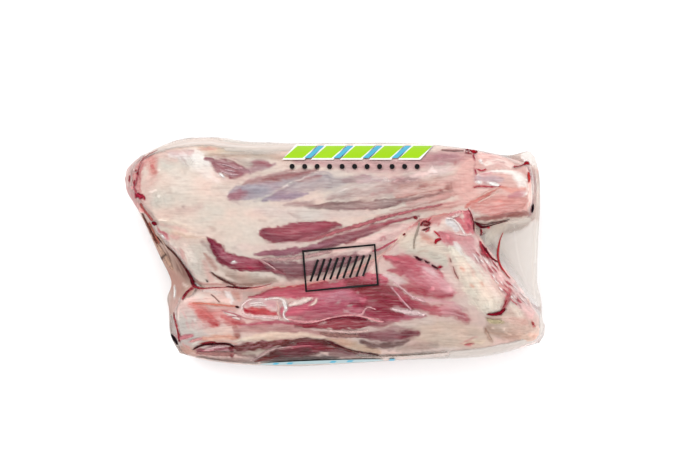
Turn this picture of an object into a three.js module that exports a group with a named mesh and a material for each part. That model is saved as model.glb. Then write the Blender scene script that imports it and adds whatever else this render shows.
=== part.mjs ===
// A sealed shrink bag that holds two raw lamb foreshanks, lying head to tail on a table.
// The bag is pulled tight by its vacuum, so its outside is the form of the meat: the broad
// elbow of one shank lies beside the narrow wrist of the other, and the film spans the two
// corners that the wrists leave free. It is one closed body of two sheets, a top one and a
// bottom one, that meet at the bag's edge.
//
// Millimetres. +X is along the shanks, +Y is towards the back shank, +Z is up, and the table
// is at z = 0.
import * as THREE from "three";

// Driving sizes
const PACK_LENGTH = 227; // along X, over the film
const PACK_DEPTH = 124; // along Y, over the film
const ELBOW_HEIGHT = 60; // the thick ends above the table
const WRIST_HEIGHT = 37; // the thin ends above the table
const FILM_SPAN = 1.2; // the two films together, where nothing lies between them
const FLAT_PRESS = 2.5; // how far the table flattens the undersides

// Grid over the plan of the bag
const CELLS_ALONG = 86;
const CELLS_ACROSS = 33;
const EDGE_CROWDING = 0.85; // 0 spaces the cells evenly, 1 crowds them at the edge
const PULL_ROUNDS = 16; // smoothing rounds in which the film bridges the hollows
const PULL_SHARE = 0.5; // how much of the way to its neighbours' mean a point moves
const SETTLE_ROUNDS = 2; // last rounds, in which the film presses the meat's sharpest edges

// The two shanks, by stations along X. back and front are where the side of the bag or of the
// other shank lies, and top is the height of the crest, as a share of the way from
// WRIST_HEIGHT to ELBOW_HEIGHT.
const BACK_SHANK = {
  stations: [
    { x: -113.5, back: 41, front: 36, top: -0.2 },
    { x: -111, back: 46, front: 29, top: 0.1 },
    { x: -104, back: 52, front: 19, top: 0.46 },
    { x: -95, back: 56.5, front: 8, top: 0.74 },
    { x: -85, back: 60, front: -4, top: 0.92 },
    { x: -76, back: 61.3, front: -17, top: 0.98 },
    { x: -64, back: 61.5, front: -22, top: 1 },
    { x: -45, back: 59, front: -22, top: 0.94 },
    { x: -24, back: 58.6, front: -17.5, top: 0.82 },
    { x: 0, back: 59, front: -9, top: 0.66 },
    { x: 24, back: 59.5, front: 1.5, top: 0.5 },
    { x: 46, back: 59.3, front: 9.5, top: 0.36 },
    { x: 66, back: 57.5, front: 14.5, top: 0.24 },
    { x: 84, back: 54.5, front: 14, top: 0.1 },
    { x: 98, back: 51.5, front: 16, top: 0.02 },
    { x: 105, back: 48, front: 18.5, top: -0.14 },
    { x: 108.5, back: 41, front: 23, top: -0.5 },
  ],
};
const FRONT_SHANK = {
  stations: [
    { x: -87.5, back: -28, front: -44, top: -0.45 },
    { x: -84.5, back: -23, front: -52, top: -0.18 },
    { x: -78, back: -20.5, front: -56.5, top: -0.04 },
    { x: -64, back: -20.5, front: -59.5, top: 0.02 },
    { x: -46, back: -21, front: -61.2, top: 0.1 },
    { x: -24, back: -18, front: -61.8, top: 0.26 },
    { x: 0, back: -9, front: -61, top: 0.44 },
    { x: 22, back: 2, front: -59.5, top: 0.62 },
    { x: 42, back: 11, front: -58.5, top: 0.78 },
    { x: 62, back: 20, front: -57.5, top: 0.9 },
    { x: 75, back: 23, front: -57, top: 0.93 },
    { x: 84, back: 5, front: -56, top: 0.88 },
    { x: 94, back: -12, front: -54, top: 0.74 },
    { x: 103, back: -24, front: -51.5, top: 0.46 },
    { x: 109, back: -31, front: -49, top: 0.1 },
    { x: 113, back: -37, front: -44, top: -0.5 },
  ],
};
const SECTION_FULLNESS = 2.25; // superellipse exponent: 2 is an ellipse, more is squarer
const SIDE_LEVEL = 0.46; // the height of a shank's widest line, as a share of its crest
const SIDE_FALL = 1.6; // how steeply the sheet leaves a shank past its widest line
const END_ROUNDING = 15; // length over which the underside curves up to a shank's end

// The edge of the bag in plan: four runs between its corners, X then Y
const LEFT_EDGE = [
  [-83.5, -55], [-88.5, -45], [-89.5, -32], [-90.5, -25], [-88.5, -16], [-95.5, -1],
  [-106.5, 22], [-113, 34.5], [-112.5, 44], [-104.8, 51.3],
];
const TOP_EDGE = [
  [-104.8, 51.3], [-94, 57.4], [-78, 61.3], [-63, 61.2], [-40, 58.6], [0, 59.3], [40, 59.3],
  [73, 56.2], [93, 53], [105, 55.4], [109, 52.5],
];
const RIGHT_EDGE = [
  [110.5, -49], [113.4, -43], [112, -34], [111.5, -25.5], [109.5, -15], [110.2, 5],
  [111.5, 25], [111.4, 42], [109, 52.5],
];
const BOTTOM_EDGE = [
  [-83.5, -55], [-65, -59], [-40, -61.3], [-18, -61.8], [10, -60.4], [40, -58.6],
  [73, -57.4], [90, -54.8], [110.5, -49],
];
const EDGE_LEVEL = { left: 24, right: 20, middle: 25 }; // height of the bag's edge

// Relief of the meat under the film: muscles and knobs stand up, seams and notches go down.
// Each is a line in plan with a half-width, and a rise that falls to nothing at its sides.
const TOP_RELIEF = [
  // back shank
  { name: "back belly", line: [[-67, 49], [-45, 45], [-18, 50]], half: 6, rise: 1.4 },
  { name: "long extensor", line: [[-57, 29], [-35, 33], [-3, 36], [35, 40]], half: 8.5, rise: 2.2 },
  { name: "side extensor", line: [[-16, 24], [8, 25], [35, 26], [62, 31]], half: 4.5, rise: 1.3 },
  { name: "deep flexor", line: [[-41, 10], [-19, 11.5], [0, 13.5]], half: 7, rise: 2.2 },
  { name: "long flexor", line: [[-8, 6], [19, 12.5], [46, 19.5], [67, 25]], half: 5, rise: 1.8 },
  { name: "low flexor", line: [[-69, 6], [-61, -3], [-46, -9], [-24, -11.5]], half: 5, rise: 1.3 },
  { name: "elbow tendon", line: [[-100, 16], [-85, 13.5], [-70, 10.5]], half: 4.5, rise: 1.3 },
  { name: "upper seam", line: [[-62, 38], [-40, 40.5], [-12, 45]], half: 4, rise: -1.2 },
  { name: "middle seam", line: [[-52, 20], [-20, 21], [20, 19], [55, 26]], half: 4, rise: -1.1 },
  { name: "lower seam", line: [[-50, 1], [-25, 0.5], [0, 3]], half: 4, rise: -1.2 },
  { name: "belly end", line: [[74, 53], [75, 40], [75, 27]], half: 4, rise: -1.8 },
  { name: "wrist tendon", line: [[76, 41], [90, 42], [104, 41]], half: 5, rise: 1.4 },
  { name: "wrist strap", line: [[73, 25], [90, 33]], half: 4, rise: 1.2 },
  // front shank
  { name: "wrist core", line: [[-50, -32], [-33, -33]], half: 5, rise: 1.7 },
  { name: "wrist hollow", line: [[-78, -33], [-62, -39]], half: 6, rise: -1.4 },
  { name: "front belly", line: [[-24, -25], [2, -22], [24, -18.5]], half: 6, rise: 1.5 },
  { name: "middle belly", line: [[-19, -33], [8, -29.5], [35, -29.5]], half: 6, rise: 2 },
  { name: "round belly", line: [[32, -6], [51, -16], [62, -22]], half: 10.5, rise: 3 },
  { name: "side belly", line: [[-19, -40], [8, -38.5], [27, -40.5]], half: 4.5, rise: 1.6 },
  { name: "low belly", line: [[19, -46], [40, -44]], half: 4.5, rise: 1.2 },
  { name: "edge belly", line: [[-51, -51], [-24, -49], [-3, -51]], half: 4.5, rise: 1.4 },
  { name: "edge slit", line: [[-77, -53], [-65, -51], [-56, -51.5]], half: 4, rise: -1.8 },
  { name: "elbow knob", line: [[65, 3], [78, -16], [86, -29]], half: 10, rise: 2.8 },
  { name: "elbow notch", line: [[82, -35], [92, -30], [94, -25]], half: 5, rise: -3.2 },
  { name: "knob seam", line: [[45, -4], [60, -12], [66, -18]], half: 4, rise: -1.6 },
  { name: "lower condyle", line: [[84, -43], [104, -40]], half: 9, rise: 1.8 },
];

const clamp = (value, low, high) => Math.min(Math.max(value, low), high);
const mix = (a, b, share) => a + (b - a) * share;

// A smooth curve through points given as [x, y], read at a share of its length
function curveThrough(points) {
  const vectors = points.map(([x, y]) => new THREE.Vector3(x, y, 0));
  const curve = new THREE.CatmullRomCurve3(vectors, false, "centripetal");
  return (share) => curve.getPointAt(clamp(share, 0, 1));
}

// One value of a shank at x, eased between its stations with no overshoot
function stationValue(stations, x, key) {
  const last = stations.length - 1;
  if (x <= stations[0].x) return stations[0][key];
  if (x >= stations[last].x) return stations[last][key];
  const i = stations.findIndex((s) => s.x > x) - 1;
  const [a, b] = [stations[i], stations[i + 1]];
  const slopeAt = (j) => {
    if (j === 0 || j === last) return 0;
    const before = (stations[j][key] - stations[j - 1][key]) / (stations[j].x - stations[j - 1].x);
    const after = (stations[j + 1][key] - stations[j][key]) / (stations[j + 1].x - stations[j].x);
    return before * after <= 0 ? 0 : (2 * before * after) / (before + after);
  };
  const width = b.x - a.x;
  const t = (x - a.x) / width;
  const [t2, t3] = [t * t, t * t * t];
  return (
    (2 * t3 - 3 * t2 + 1) * a[key] +
    (t3 - 2 * t2 + t) * width * slopeAt(i) +
    (3 * t2 - 2 * t3) * b[key] +
    (t3 - t2) * width * slopeAt(i + 1)
  );
}

// Heights of a shank's upper and lower faces over a plan point. Past its widest line, both
// keep falling away from it, so that the film takes over.
function shankHeights(shank, x, y) {
  const read = (key) => stationValue(shank.stations, x, key);
  const [back, front] = [read("back"), read("front")];
  const crest = mix(WRIST_HEIGHT, ELBOW_HEIGHT, read("top"));
  const side = crest * SIDE_LEVEL;
  const middle = (back + front) / 2;
  const half = (back - front) / 2;
  const first = shank.stations[0].x;
  const last = shank.stations[shank.stations.length - 1].x;
  const offEnd = Math.max(first - x, x - last, 0);
  const off = Math.max(Math.abs(y - middle) - half, 0) + offEnd;
  if (off > 0) return { top: side - off * SIDE_FALL, bottom: side + off * SIDE_FALL };
  const across = Math.abs(y - middle) / half;
  const bulge = Math.pow(1 - Math.pow(across, SECTION_FULLNESS), 1 / SECTION_FULLNESS);
  const intoEnd = clamp(1 - Math.min(x - first, last - x) / END_ROUNDING, 0, 1);
  const depth = (side + FLAT_PRESS) * Math.sqrt(1 - intoEnd * intoEnd);
  return { top: side + (crest - side) * bulge, bottom: side - depth * bulge };
}

// Distance from a plan point to a line of points, and how far along it the nearest point is
function nearestOnLine(line, x, y) {
  const lengths = line.slice(1).map(([bx, by], i) => Math.hypot(bx - line[i][0], by - line[i][1]));
  const total = lengths.reduce((sum, length) => sum + length, 0);
  let [best, share, before] = [Infinity, 0, 0];
  lengths.forEach((length, i) => {
    const [ax, ay] = line[i];
    const [bx, by] = line[i + 1];
    const t = clamp(((x - ax) * (bx - ax) + (y - ay) * (by - ay)) / (length * length), 0, 1);
    const distance = Math.hypot(x - ax - (bx - ax) * t, y - ay - (by - ay) * t);
    if (distance < best) [best, share] = [distance, (before + length * t) / total];
    before += length;
  });
  return { distance: best, share };
}

// How far the meat's relief lifts the top sheet at a plan point
function reliefAt(x, y) {
  let lift = 0;
  for (const { line, half, rise } of TOP_RELIEF) {
    const { distance, share } = nearestOnLine(line, x, y);
    const width = half * (0.72 + 0.28 * Math.sin(Math.PI * share));
    if (distance < width) lift += rise * Math.pow(1 - (distance / width) ** 2, 1.5);
  }
  return lift;
}

// Both faces of the meat over a plan point
function meatHeights(x, y) {
  const [back, front] = [shankHeights(BACK_SHANK, x, y), shankHeights(FRONT_SHANK, x, y)];
  return {
    top: Math.max(back.top, front.top) + reliefAt(x, y),
    bottom: Math.min(back.bottom, front.bottom),
  };
}

// The plan point of a grid position, blended between the four edges of the bag
const leftEdge = curveThrough(LEFT_EDGE);
const rightEdge = curveThrough(RIGHT_EDGE);
const topEdge = curveThrough(TOP_EDGE);
const bottomEdge = curveThrough(BOTTOM_EDGE);
function planPoint(u, v) {
  const [left, right, top, bottom] = [leftEdge(v), rightEdge(v), topEdge(u), bottomEdge(u)];
  const corners = new THREE.Vector3()
    .addScaledVector(bottomEdge(0), (1 - u) * (1 - v))
    .addScaledVector(bottomEdge(1), u * (1 - v))
    .addScaledVector(topEdge(0), (1 - u) * v)
    .addScaledVector(topEdge(1), u * v);
  return new THREE.Vector3()
    .addScaledVector(left, 1 - u)
    .addScaledVector(right, u)
    .addScaledVector(bottom, 1 - v)
    .addScaledVector(top, v)
    .sub(corners);
}

const crowded = (share) => mix(share, (1 - Math.cos(Math.PI * share)) / 2, EDGE_CROWDING);

// Height of the bag's edge beside a plan point
function edgeLevel(x) {
  const side = x < 0 ? EDGE_LEVEL.left : EDGE_LEVEL.right;
  return mix(EDGE_LEVEL.middle, side, Math.min(Math.abs(x) / (PACK_LENGTH / 2), 1) ** 4);
}

// The film bridges hollows: each point moves towards its neighbours' mean, and only in the
// last rounds a little into the meat. outward is 1 for the top sheet and -1 for the bottom.
function pullTight(sheet, meat, outward) {
  for (let round = 0; round < PULL_ROUNDS + SETTLE_ROUNDS; round++) {
    const before = sheet.map((row) => row.slice());
    const settling = round >= PULL_ROUNDS;
    for (let i = 1; i < CELLS_ALONG; i++)
      for (let j = 1; j < CELLS_ACROSS; j++) {
        const mean = (before[i - 1][j] + before[i + 1][j] + before[i][j - 1] + before[i][j + 1]) / 4;
        const pulled = mix(before[i][j], mean, PULL_SHARE);
        sheet[i][j] = settling ? pulled : outward * Math.max(outward * pulled, outward * meat[i][j]);
      }
  }
}

// Both sheets of the bag over the grid, then one closed mesh
function makePack() {
  const overGrid = (value) =>
    Array.from({ length: CELLS_ALONG + 1 }, (_, i) =>
      Array.from({ length: CELLS_ACROSS + 1 }, (_, j) => value(i, j)),
    );
  const plan = overGrid((i, j) => planPoint(crowded(i / CELLS_ALONG), crowded(j / CELLS_ACROSS)));
  const level = overGrid((i, j) => edgeLevel(plan[i][j].x));
  const meat = overGrid((i, j) => meatHeights(plan[i][j].x, plan[i][j].y));
  const topMeat = meat.map((row) => row.map((heights) => heights.top));
  const bottomMeat = meat.map((row) => row.map((heights) => heights.bottom));
  const onEdge = (i, j) => i === 0 || j === 0 || i === CELLS_ALONG || j === CELLS_ACROSS;
  const start = (heights, outward) =>
    overGrid((i, j) => {
      const film = level[i][j] + (outward * FILM_SPAN) / 2;
      return onEdge(i, j) ? level[i][j] : outward * Math.max(outward * heights[i][j], outward * film);
    });
  const top = start(topMeat, 1);
  const bottom = start(bottomMeat, -1);
  pullTight(top, topMeat, 1);
  pullTight(bottom, bottomMeat, -1);

  const positions = [];
  const index = new Map();
  const vertex = (sheet, i, j) => {
    const key = `${onEdge(i, j) ? "edge" : sheet} ${i} ${j}`;
    if (!index.has(key)) {
      const z = (sheet === "top" ? top : bottom)[i][j];
      index.set(key, positions.length / 3);
      positions.push(plan[i][j].x, plan[i][j].y, Math.max(z, 0));
    }
    return index.get(key);
  };
  const faces = [];
  for (let i = 0; i < CELLS_ALONG; i++)
    for (let j = 0; j < CELLS_ACROSS; j++)
      for (const sheet of ["top", "bottom"]) {
        const a = vertex(sheet, i, j);
        const b = vertex(sheet, i + 1, j);
        const c = vertex(sheet, i + 1, j + 1);
        const d = vertex(sheet, i, j + 1);
        if (sheet === "top") faces.push(a, b, c, a, c, d);
        else faces.push(a, c, b, a, d, c);
      }
  const geometry = new THREE.BufferGeometry();
  geometry.setAttribute("position", new THREE.Float32BufferAttribute(positions, 3));
  geometry.setIndex(faces);
  geometry.computeVertexNormals();
  return geometry;
}

// The plan's middle goes to the origin, and the size is trued to the driving sizes
function trued(geometry) {
  geometry.computeBoundingBox();
  const { min, max } = geometry.boundingBox;
  geometry.translate(-(min.x + max.x) / 2, -(min.y + max.y) / 2, -min.z);
  geometry.scale(PACK_LENGTH / (max.x - min.x), PACK_DEPTH / (max.y - min.y), 1);
  return geometry;
}

const packFinish = new THREE.MeshStandardMaterial({
  name: "film over raw lamb",
  color: new THREE.Color(0.78, 0.55, 0.53),
  roughness: 0.3,
  metalness: 0,
});
const pack = new THREE.Mesh(trued(makePack()), packFinish);
pack.name = "sealed_pack";

const lambShankPack = new THREE.Group();
lambShankPack.add(pack);

export default lambShankPack;
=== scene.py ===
"""A clear shrink bag that holds two raw lamb foreshanks, lying head to tail on a pale table.

The bag is one closed film of a top and a bottom sheet. Under it lie the back shank, with its
broad elbow at the left, and the front shank, with its elbow at the right. The meat's muscles,
fat and tendons are painted on the shanks as soft bands, and so are painted highlights and
painted shade; the shanks' colour is also painted lighter in their hollows, against the shade
there. The film's milkiness, its folds and its print follow the same way, and the film carries
painted highlights and shade too. Places on the meat and on the film are given in pixels of a
700 x 467 frame, seen through the camera below; all forms are in millimetres and become metres
when a mesh is made. +X is along the shanks, +Y towards the back shank, and +Z is up.
"""
import itertools
import math
from collections import namedtuple

import bpy
import numpy as np
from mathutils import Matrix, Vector
from mathutils.bvhtree import BVHTree


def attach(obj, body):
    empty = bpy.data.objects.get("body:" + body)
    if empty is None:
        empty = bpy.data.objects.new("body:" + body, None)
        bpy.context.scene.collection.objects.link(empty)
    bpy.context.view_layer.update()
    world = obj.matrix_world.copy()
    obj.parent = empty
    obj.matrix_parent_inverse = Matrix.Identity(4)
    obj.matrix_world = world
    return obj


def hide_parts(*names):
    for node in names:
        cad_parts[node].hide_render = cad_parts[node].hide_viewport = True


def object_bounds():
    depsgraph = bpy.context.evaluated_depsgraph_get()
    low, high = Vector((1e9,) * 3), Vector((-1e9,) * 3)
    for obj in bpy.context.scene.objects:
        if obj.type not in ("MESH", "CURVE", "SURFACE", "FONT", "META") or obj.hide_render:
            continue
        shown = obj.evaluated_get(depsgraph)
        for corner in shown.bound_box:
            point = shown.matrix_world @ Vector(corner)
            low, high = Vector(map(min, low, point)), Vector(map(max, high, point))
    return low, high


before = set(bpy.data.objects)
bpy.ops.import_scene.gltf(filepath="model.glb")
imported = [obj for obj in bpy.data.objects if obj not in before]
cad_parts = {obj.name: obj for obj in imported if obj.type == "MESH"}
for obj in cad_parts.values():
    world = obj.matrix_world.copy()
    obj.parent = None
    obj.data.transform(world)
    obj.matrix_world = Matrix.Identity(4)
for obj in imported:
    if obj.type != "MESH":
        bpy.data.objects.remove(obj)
cad_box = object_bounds()
MM = 0.001


# ---------------------------------------------------------------- camera
PHOTO_WIDTH, PHOTO_HEIGHT = 700, 467
MM_PER_PIXEL = 0.54  # at AIM's height
AIM = np.array([8.1, 9.4, 28.0])  # what the middle of the photo looks at
CAMERA_DISTANCE = 1150.0
CAMERA_TILT = math.radians(7.0)  # from straight down, towards the front
SENSOR_WIDTH = 36.0

sight = np.array([0.0, math.sin(CAMERA_TILT), -math.cos(CAMERA_TILT)])
screen_up = np.array([0.0, math.cos(CAMERA_TILT), math.sin(CAMERA_TILT)])
camera_place = AIM - sight * CAMERA_DISTANCE
focal_pixels = CAMERA_DISTANCE / MM_PER_PIXEL


def pixel_of(points):
    """Where points in millimetres, one in each row, are seen in the photo."""
    offset = points - camera_place
    depth = offset @ sight
    x = PHOTO_WIDTH / 2 + focal_pixels * offset[..., 0] / depth
    y = PHOTO_HEIGHT / 2 - focal_pixels * (offset @ screen_up) / depth
    return x, y


def ray_through(x, y):
    """The direction from the camera through a pixel."""
    right = (x - PHOTO_WIDTH / 2) / focal_pixels
    up = (PHOTO_HEIGHT / 2 - y) / focal_pixels
    return Vector((right, *(sight + screen_up * up)[1:])).normalized()


def add_camera():
    data = bpy.data.cameras.new("camera")
    data.sensor_width = SENSOR_WIDTH
    data.lens = SENSOR_WIDTH * focal_pixels / PHOTO_WIDTH
    data.clip_end = 20
    camera = bpy.data.objects.new("camera", data)
    camera.location = camera_place * MM
    camera.rotation_euler = (CAMERA_TILT, 0, 0)
    bpy.context.scene.collection.objects.link(camera)
    bpy.context.scene.camera = camera


# ---------------------------------------------------------------- small maths
FILM_VEIL = 0.02  # white light that the clear film adds over the meat
EXPOSURE = 1.43


def linear(colour):
    """A colour given as 0 to 255 for each channel, as Blender's linear light."""
    c = np.asarray(colour, float) / 255
    return np.where(c < 0.04045, c / 12.92, ((c + 0.055) / 1.055) ** 2.4)


def lit(colour):
    """A colour's linear light, less how much the studio outshines plain white."""
    return linear(colour) / EXPOSURE


def under_film(colour):
    """A colour of the meat as seen through the film, less what the film itself adds."""
    return np.maximum((linear(colour) - FILM_VEIL) / (1 - FILM_VEIL) / EXPOSURE, 0.004)


def ease(low, high, value):
    """0 up to low, 1 from high, and a smooth step between."""
    t = np.clip((value - low) / (high - low), 0, 1)
    return t * t * (3 - 2 * t)


def blend(a, b, share):
    return a + (b - a) * share


def noise(seed, *coordinates):
    """Smooth noise from -1 to 1, with features about one unit apart."""
    cells = [np.floor(c).astype(np.int64) for c in coordinates]
    parts = [c - cell for c, cell in zip(coordinates, cells)]
    parts = [t * t * t * (t * (t * 6 - 15) + 10) for t in parts]
    total = 0.0
    for corner in itertools.product((0, 1), repeat=len(cells)):
        weight, key = 1.0, np.int64(seed * 7919 + 17)
        for cell, t, step in zip(cells, parts, corner):
            weight = weight * (t if step else 1 - t)
            key = (key ^ (cell + step)) * 2654435761 & 0xFFFFFFFF
            key = key ^ (key >> 15)
        total = total + weight * ((key * 2246822519 >> 9 & 0xFFFF) / 32767.5 - 1)
    return total


def layered_noise(seed, layers, *coordinates):
    """Noise at several sizes, each half as large and half as strong as the one before."""
    total = 0.0
    for layer in range(layers):
        scaled = [c * 2.03**layer for c in coordinates]
        total = total + noise(seed + 31 * layer, *scaled) * 0.5**layer
    return total


# ---------------------------------------------------------------- forms of the shanks
WRIST_HEIGHT, ELBOW_HEIGHT = 37, 60
OUTER_FULLNESS = 2.25  # superellipse exponent of a shank's section
INNER_FULLNESS = 5.5  # of the flank that is pressed against the other shank
SLOPING_FULLNESS = 2.7  # of that flank beside the other shank's low wrist
SLOPING_FROM, SLOPING_TO = 0.6, 0.95  # shares of the full height between which it gets so
PRESSED_FROM, PRESSED_TO = 2, 18  # distances from a shank's end over which its flank fills out
SIDE_LEVEL = 0.46  # height of a shank's widest line, as a share of its crest
SIDE_FALL = 1.6  # how steeply the sheets leave a shank past its widest line
END_ROUNDING = 15
FLAT_PRESS = 2.5  # how far the table flattens the undersides
TABLE_GAP = 0.5  # the meat's height over the table, where the film lies between

Station = namedtuple("Station", "x back front top")
BACK_STATIONS = [
    Station(-113.5, 41, 36, -0.2),
    Station(-111, 46, 29, 0.1),
    Station(-104, 52, 19, 0.46),
    Station(-95, 56.5, 8, 0.74),
    Station(-85, 60, -4, 0.92),
    Station(-76, 61.3, -17, 0.98),
    Station(-64, 61.5, -22, 1),
    Station(-45, 59, -22, 0.94),
    Station(-24, 58.6, -21.5, 0.82),
    Station(0, 59, -17.5, 0.66),
    Station(20, 59.4, -10.5, 0.52),
    Station(32, 59.4, -3, 0.44),
    Station(46, 59.3, 6, 0.36),
    Station(66, 57.5, 12, 0.24),
    Station(84, 54.5, 14, 0.1),
    Station(98, 51.5, 16, 0.02),
    Station(105, 48, 18.5, -0.14),
    Station(108.5, 41, 23, -0.5),
]
FRONT_STATIONS = [
    Station(-87.5, -28, -44, -0.45),
    Station(-84.5, -23, -52, -0.18),
    Station(-78, -19.5, -56.5, -0.04),
    Station(-64, -17.5, -59.5, 0.02),
    Station(-46, -18, -61.2, 0.1),
    Station(-24, -17.8, -61.8, 0.26),
    Station(0, -13, -61, 0.44),
    Station(20, -5.6, -59.6, 0.6),
    Station(28, -0.6, -59.3, 0.67),
    Station(35, 7.4, -59, 0.73),
    Station(45, 16.2, -58.4, 0.8),
    Station(62, 20.4, -57.5, 0.9),
    Station(69, 21.4, -57.2, 0.93),
    Station(73, 17, -57, 0.93),
    Station(78, 7, -56.6, 0.92),
    Station(84, -1.5, -56, 0.88),
    Station(94, -14.5, -54, 0.74),
    Station(103, -26, -51.5, 0.46),
    Station(109, -32.5, -49, 0.1),
    Station(113, -37.5, -44, -0.5),
]


def between_stations(stations, x, field):
    """One value of a shank at each x, eased between its stations with no overshoot."""
    places = np.array([s.x for s in stations], float)
    values = np.array([getattr(s, field) for s in stations], float)
    rise = np.diff(values) / np.diff(places)
    slope = np.zeros(len(places))
    before, after = rise[:-1], rise[1:]
    same_way = before * after > 0
    both = np.where(same_way, before + after, 1)
    slope[1:-1] = np.where(same_way, 2 * before * after / both, 0)
    x = np.clip(x, places[0], places[-1])
    i = np.clip(np.searchsorted(places, x, side="right") - 1, 0, len(places) - 2)
    width = places[i + 1] - places[i]
    t = (x - places[i]) / width
    t2, t3 = t * t, t * t * t
    return (
        (2 * t3 - 3 * t2 + 1) * values[i]
        + (t3 - 2 * t2 + t) * width * slope[i]
        + (3 * t2 - 2 * t3) * values[i + 1]
        + (t3 - t2) * width * slope[i + 1]
    )


Section = namedtuple("Section", "back front crest side depth inner")


def section_of(stations, x):
    """The cross-section of a shank at each x."""
    back = between_stations(stations, x, "back")
    front = between_stations(stations, x, "front")
    tall = between_stations(stations, x, "top")
    crest = blend(WRIST_HEIGHT, ELBOW_HEIGHT, tall)
    side = crest * SIDE_LEVEL
    to_end = np.minimum(x - stations[0].x, stations[-1].x - x)
    into_end = np.clip(1 - to_end / END_ROUNDING, 0, 1)
    depth = (side + FLAT_PRESS) * np.sqrt(1 - into_end**2)
    pressed = ease(PRESSED_FROM, PRESSED_TO, to_end)
    inner = blend(INNER_FULLNESS, SLOPING_FULLNESS, ease(SLOPING_FROM, SLOPING_TO, tall))
    return Section(back, front, crest, side, depth, blend(OUTER_FULLNESS, inner, pressed))


def heights_over(stations, x, y, inward):
    """Heights of a shank's upper and lower faces over plan places; past its widest line they
    keep falling away. The other shank lies inward, 1 towards the back and -1 to the front."""
    s = section_of(stations, x)
    middle, half = (s.back + s.front) / 2, (s.back - s.front) / 2
    off_end = np.maximum(np.maximum(stations[0].x - x, x - stations[-1].x), 0)
    off = np.maximum(np.abs(y - middle) - half, 0) + off_end
    across = np.clip(np.abs(y - middle) / half, 0, 1)
    full = np.where((y - middle) * inward > 0, s.inner, OUTER_FULLNESS)
    bulge = (1 - across**full) ** (1 / full)
    round_bulge = (1 - across**OUTER_FULLNESS) ** (1 / OUTER_FULLNESS)
    bulge, round_bulge = [np.where(off > 0, 0, b) for b in (bulge, round_bulge)]
    top = s.side + (s.crest - s.side) * bulge - off * SIDE_FALL
    bottom = s.side - s.depth * round_bulge + off * SIDE_FALL
    return top, bottom, bulge


# ---------------------------------------------------------------- bands
# A band is a soft stroke along a line of photo pixels, each point with its own half-width.
# It carries a colour, and it may lift or sink the surface by some millimetres.
Band = namedtuple("Band", "name colour path cover soft grain rise", defaults=(0.9, 0.5, 0.35, 0))


def strands(name, colour, first, last, count, half, seed, cover=0.6, length=(0.35, 0.8), rise=0.0):
    """Thin streaks between two guide lines, each with its own length, width and sway."""
    chance = np.random.default_rng(seed)
    first, last = np.array(first, float), np.array(last, float)
    made = []
    for k in range(count):
        share = (k + chance.uniform(0.1, 0.9)) / count
        guide = smooth_path([(x, y, 0) for x, y in blend(first, last, share)])[:, :2]
        span = chance.uniform(*length)
        start = chance.uniform(0, 1 - span)
        picks = np.linspace(start, start + span, 4) * (len(guide) - 1)
        steps = np.arange(len(guide))
        line = np.column_stack([np.interp(picks, steps, guide[:, k]) for k in (0, 1)]) + chance.normal(0, 0.25, (4, 2))
        widths = half * chance.uniform(0.6, 1.4) * np.array([0.4, 1, 1, 0.4])
        path = [(x, y, w) for (x, y), w in zip(line, widths)]
        made.append(Band(f"{name} {k}", colour, path, min(cover * chance.uniform(0.5, 1.3), 1), 0.6, 0.3, rise))
    return made


def smooth_path(path, steps=6):
    """The path's points with a smooth curve's points between them."""
    points = np.array(path, float)
    ends = np.vstack([2 * points[0] - points[1], points, 2 * points[-1] - points[-2]])
    curve = [points[0]]
    for a, b, c, d in zip(ends, ends[1:], ends[2:], ends[3:]):
        for t in np.arange(1, steps + 1) / steps:
            curve.append(0.5 * (2 * b + (c - a) * t + (2 * a - 5 * b + 4 * c - d) * t**2
                                + (3 * b - a - 3 * c + d) * t**3))
    return np.array(curve)


CREAM = (231, 216, 205)
COOL_CREAM = (219, 208, 198)
WARM_CREAM = (237, 219, 208)
# the white of fat; the glint bands use it as a painted highlight
FAT_AND_GLINT_WHITE = (253, 247, 243)
PINK_CREAM = (224, 199, 191)
CLOT = (120, 18, 36)
CRIMSON = (184, 44, 60)
NEAR_BLACK = (40, 24, 30)

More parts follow.
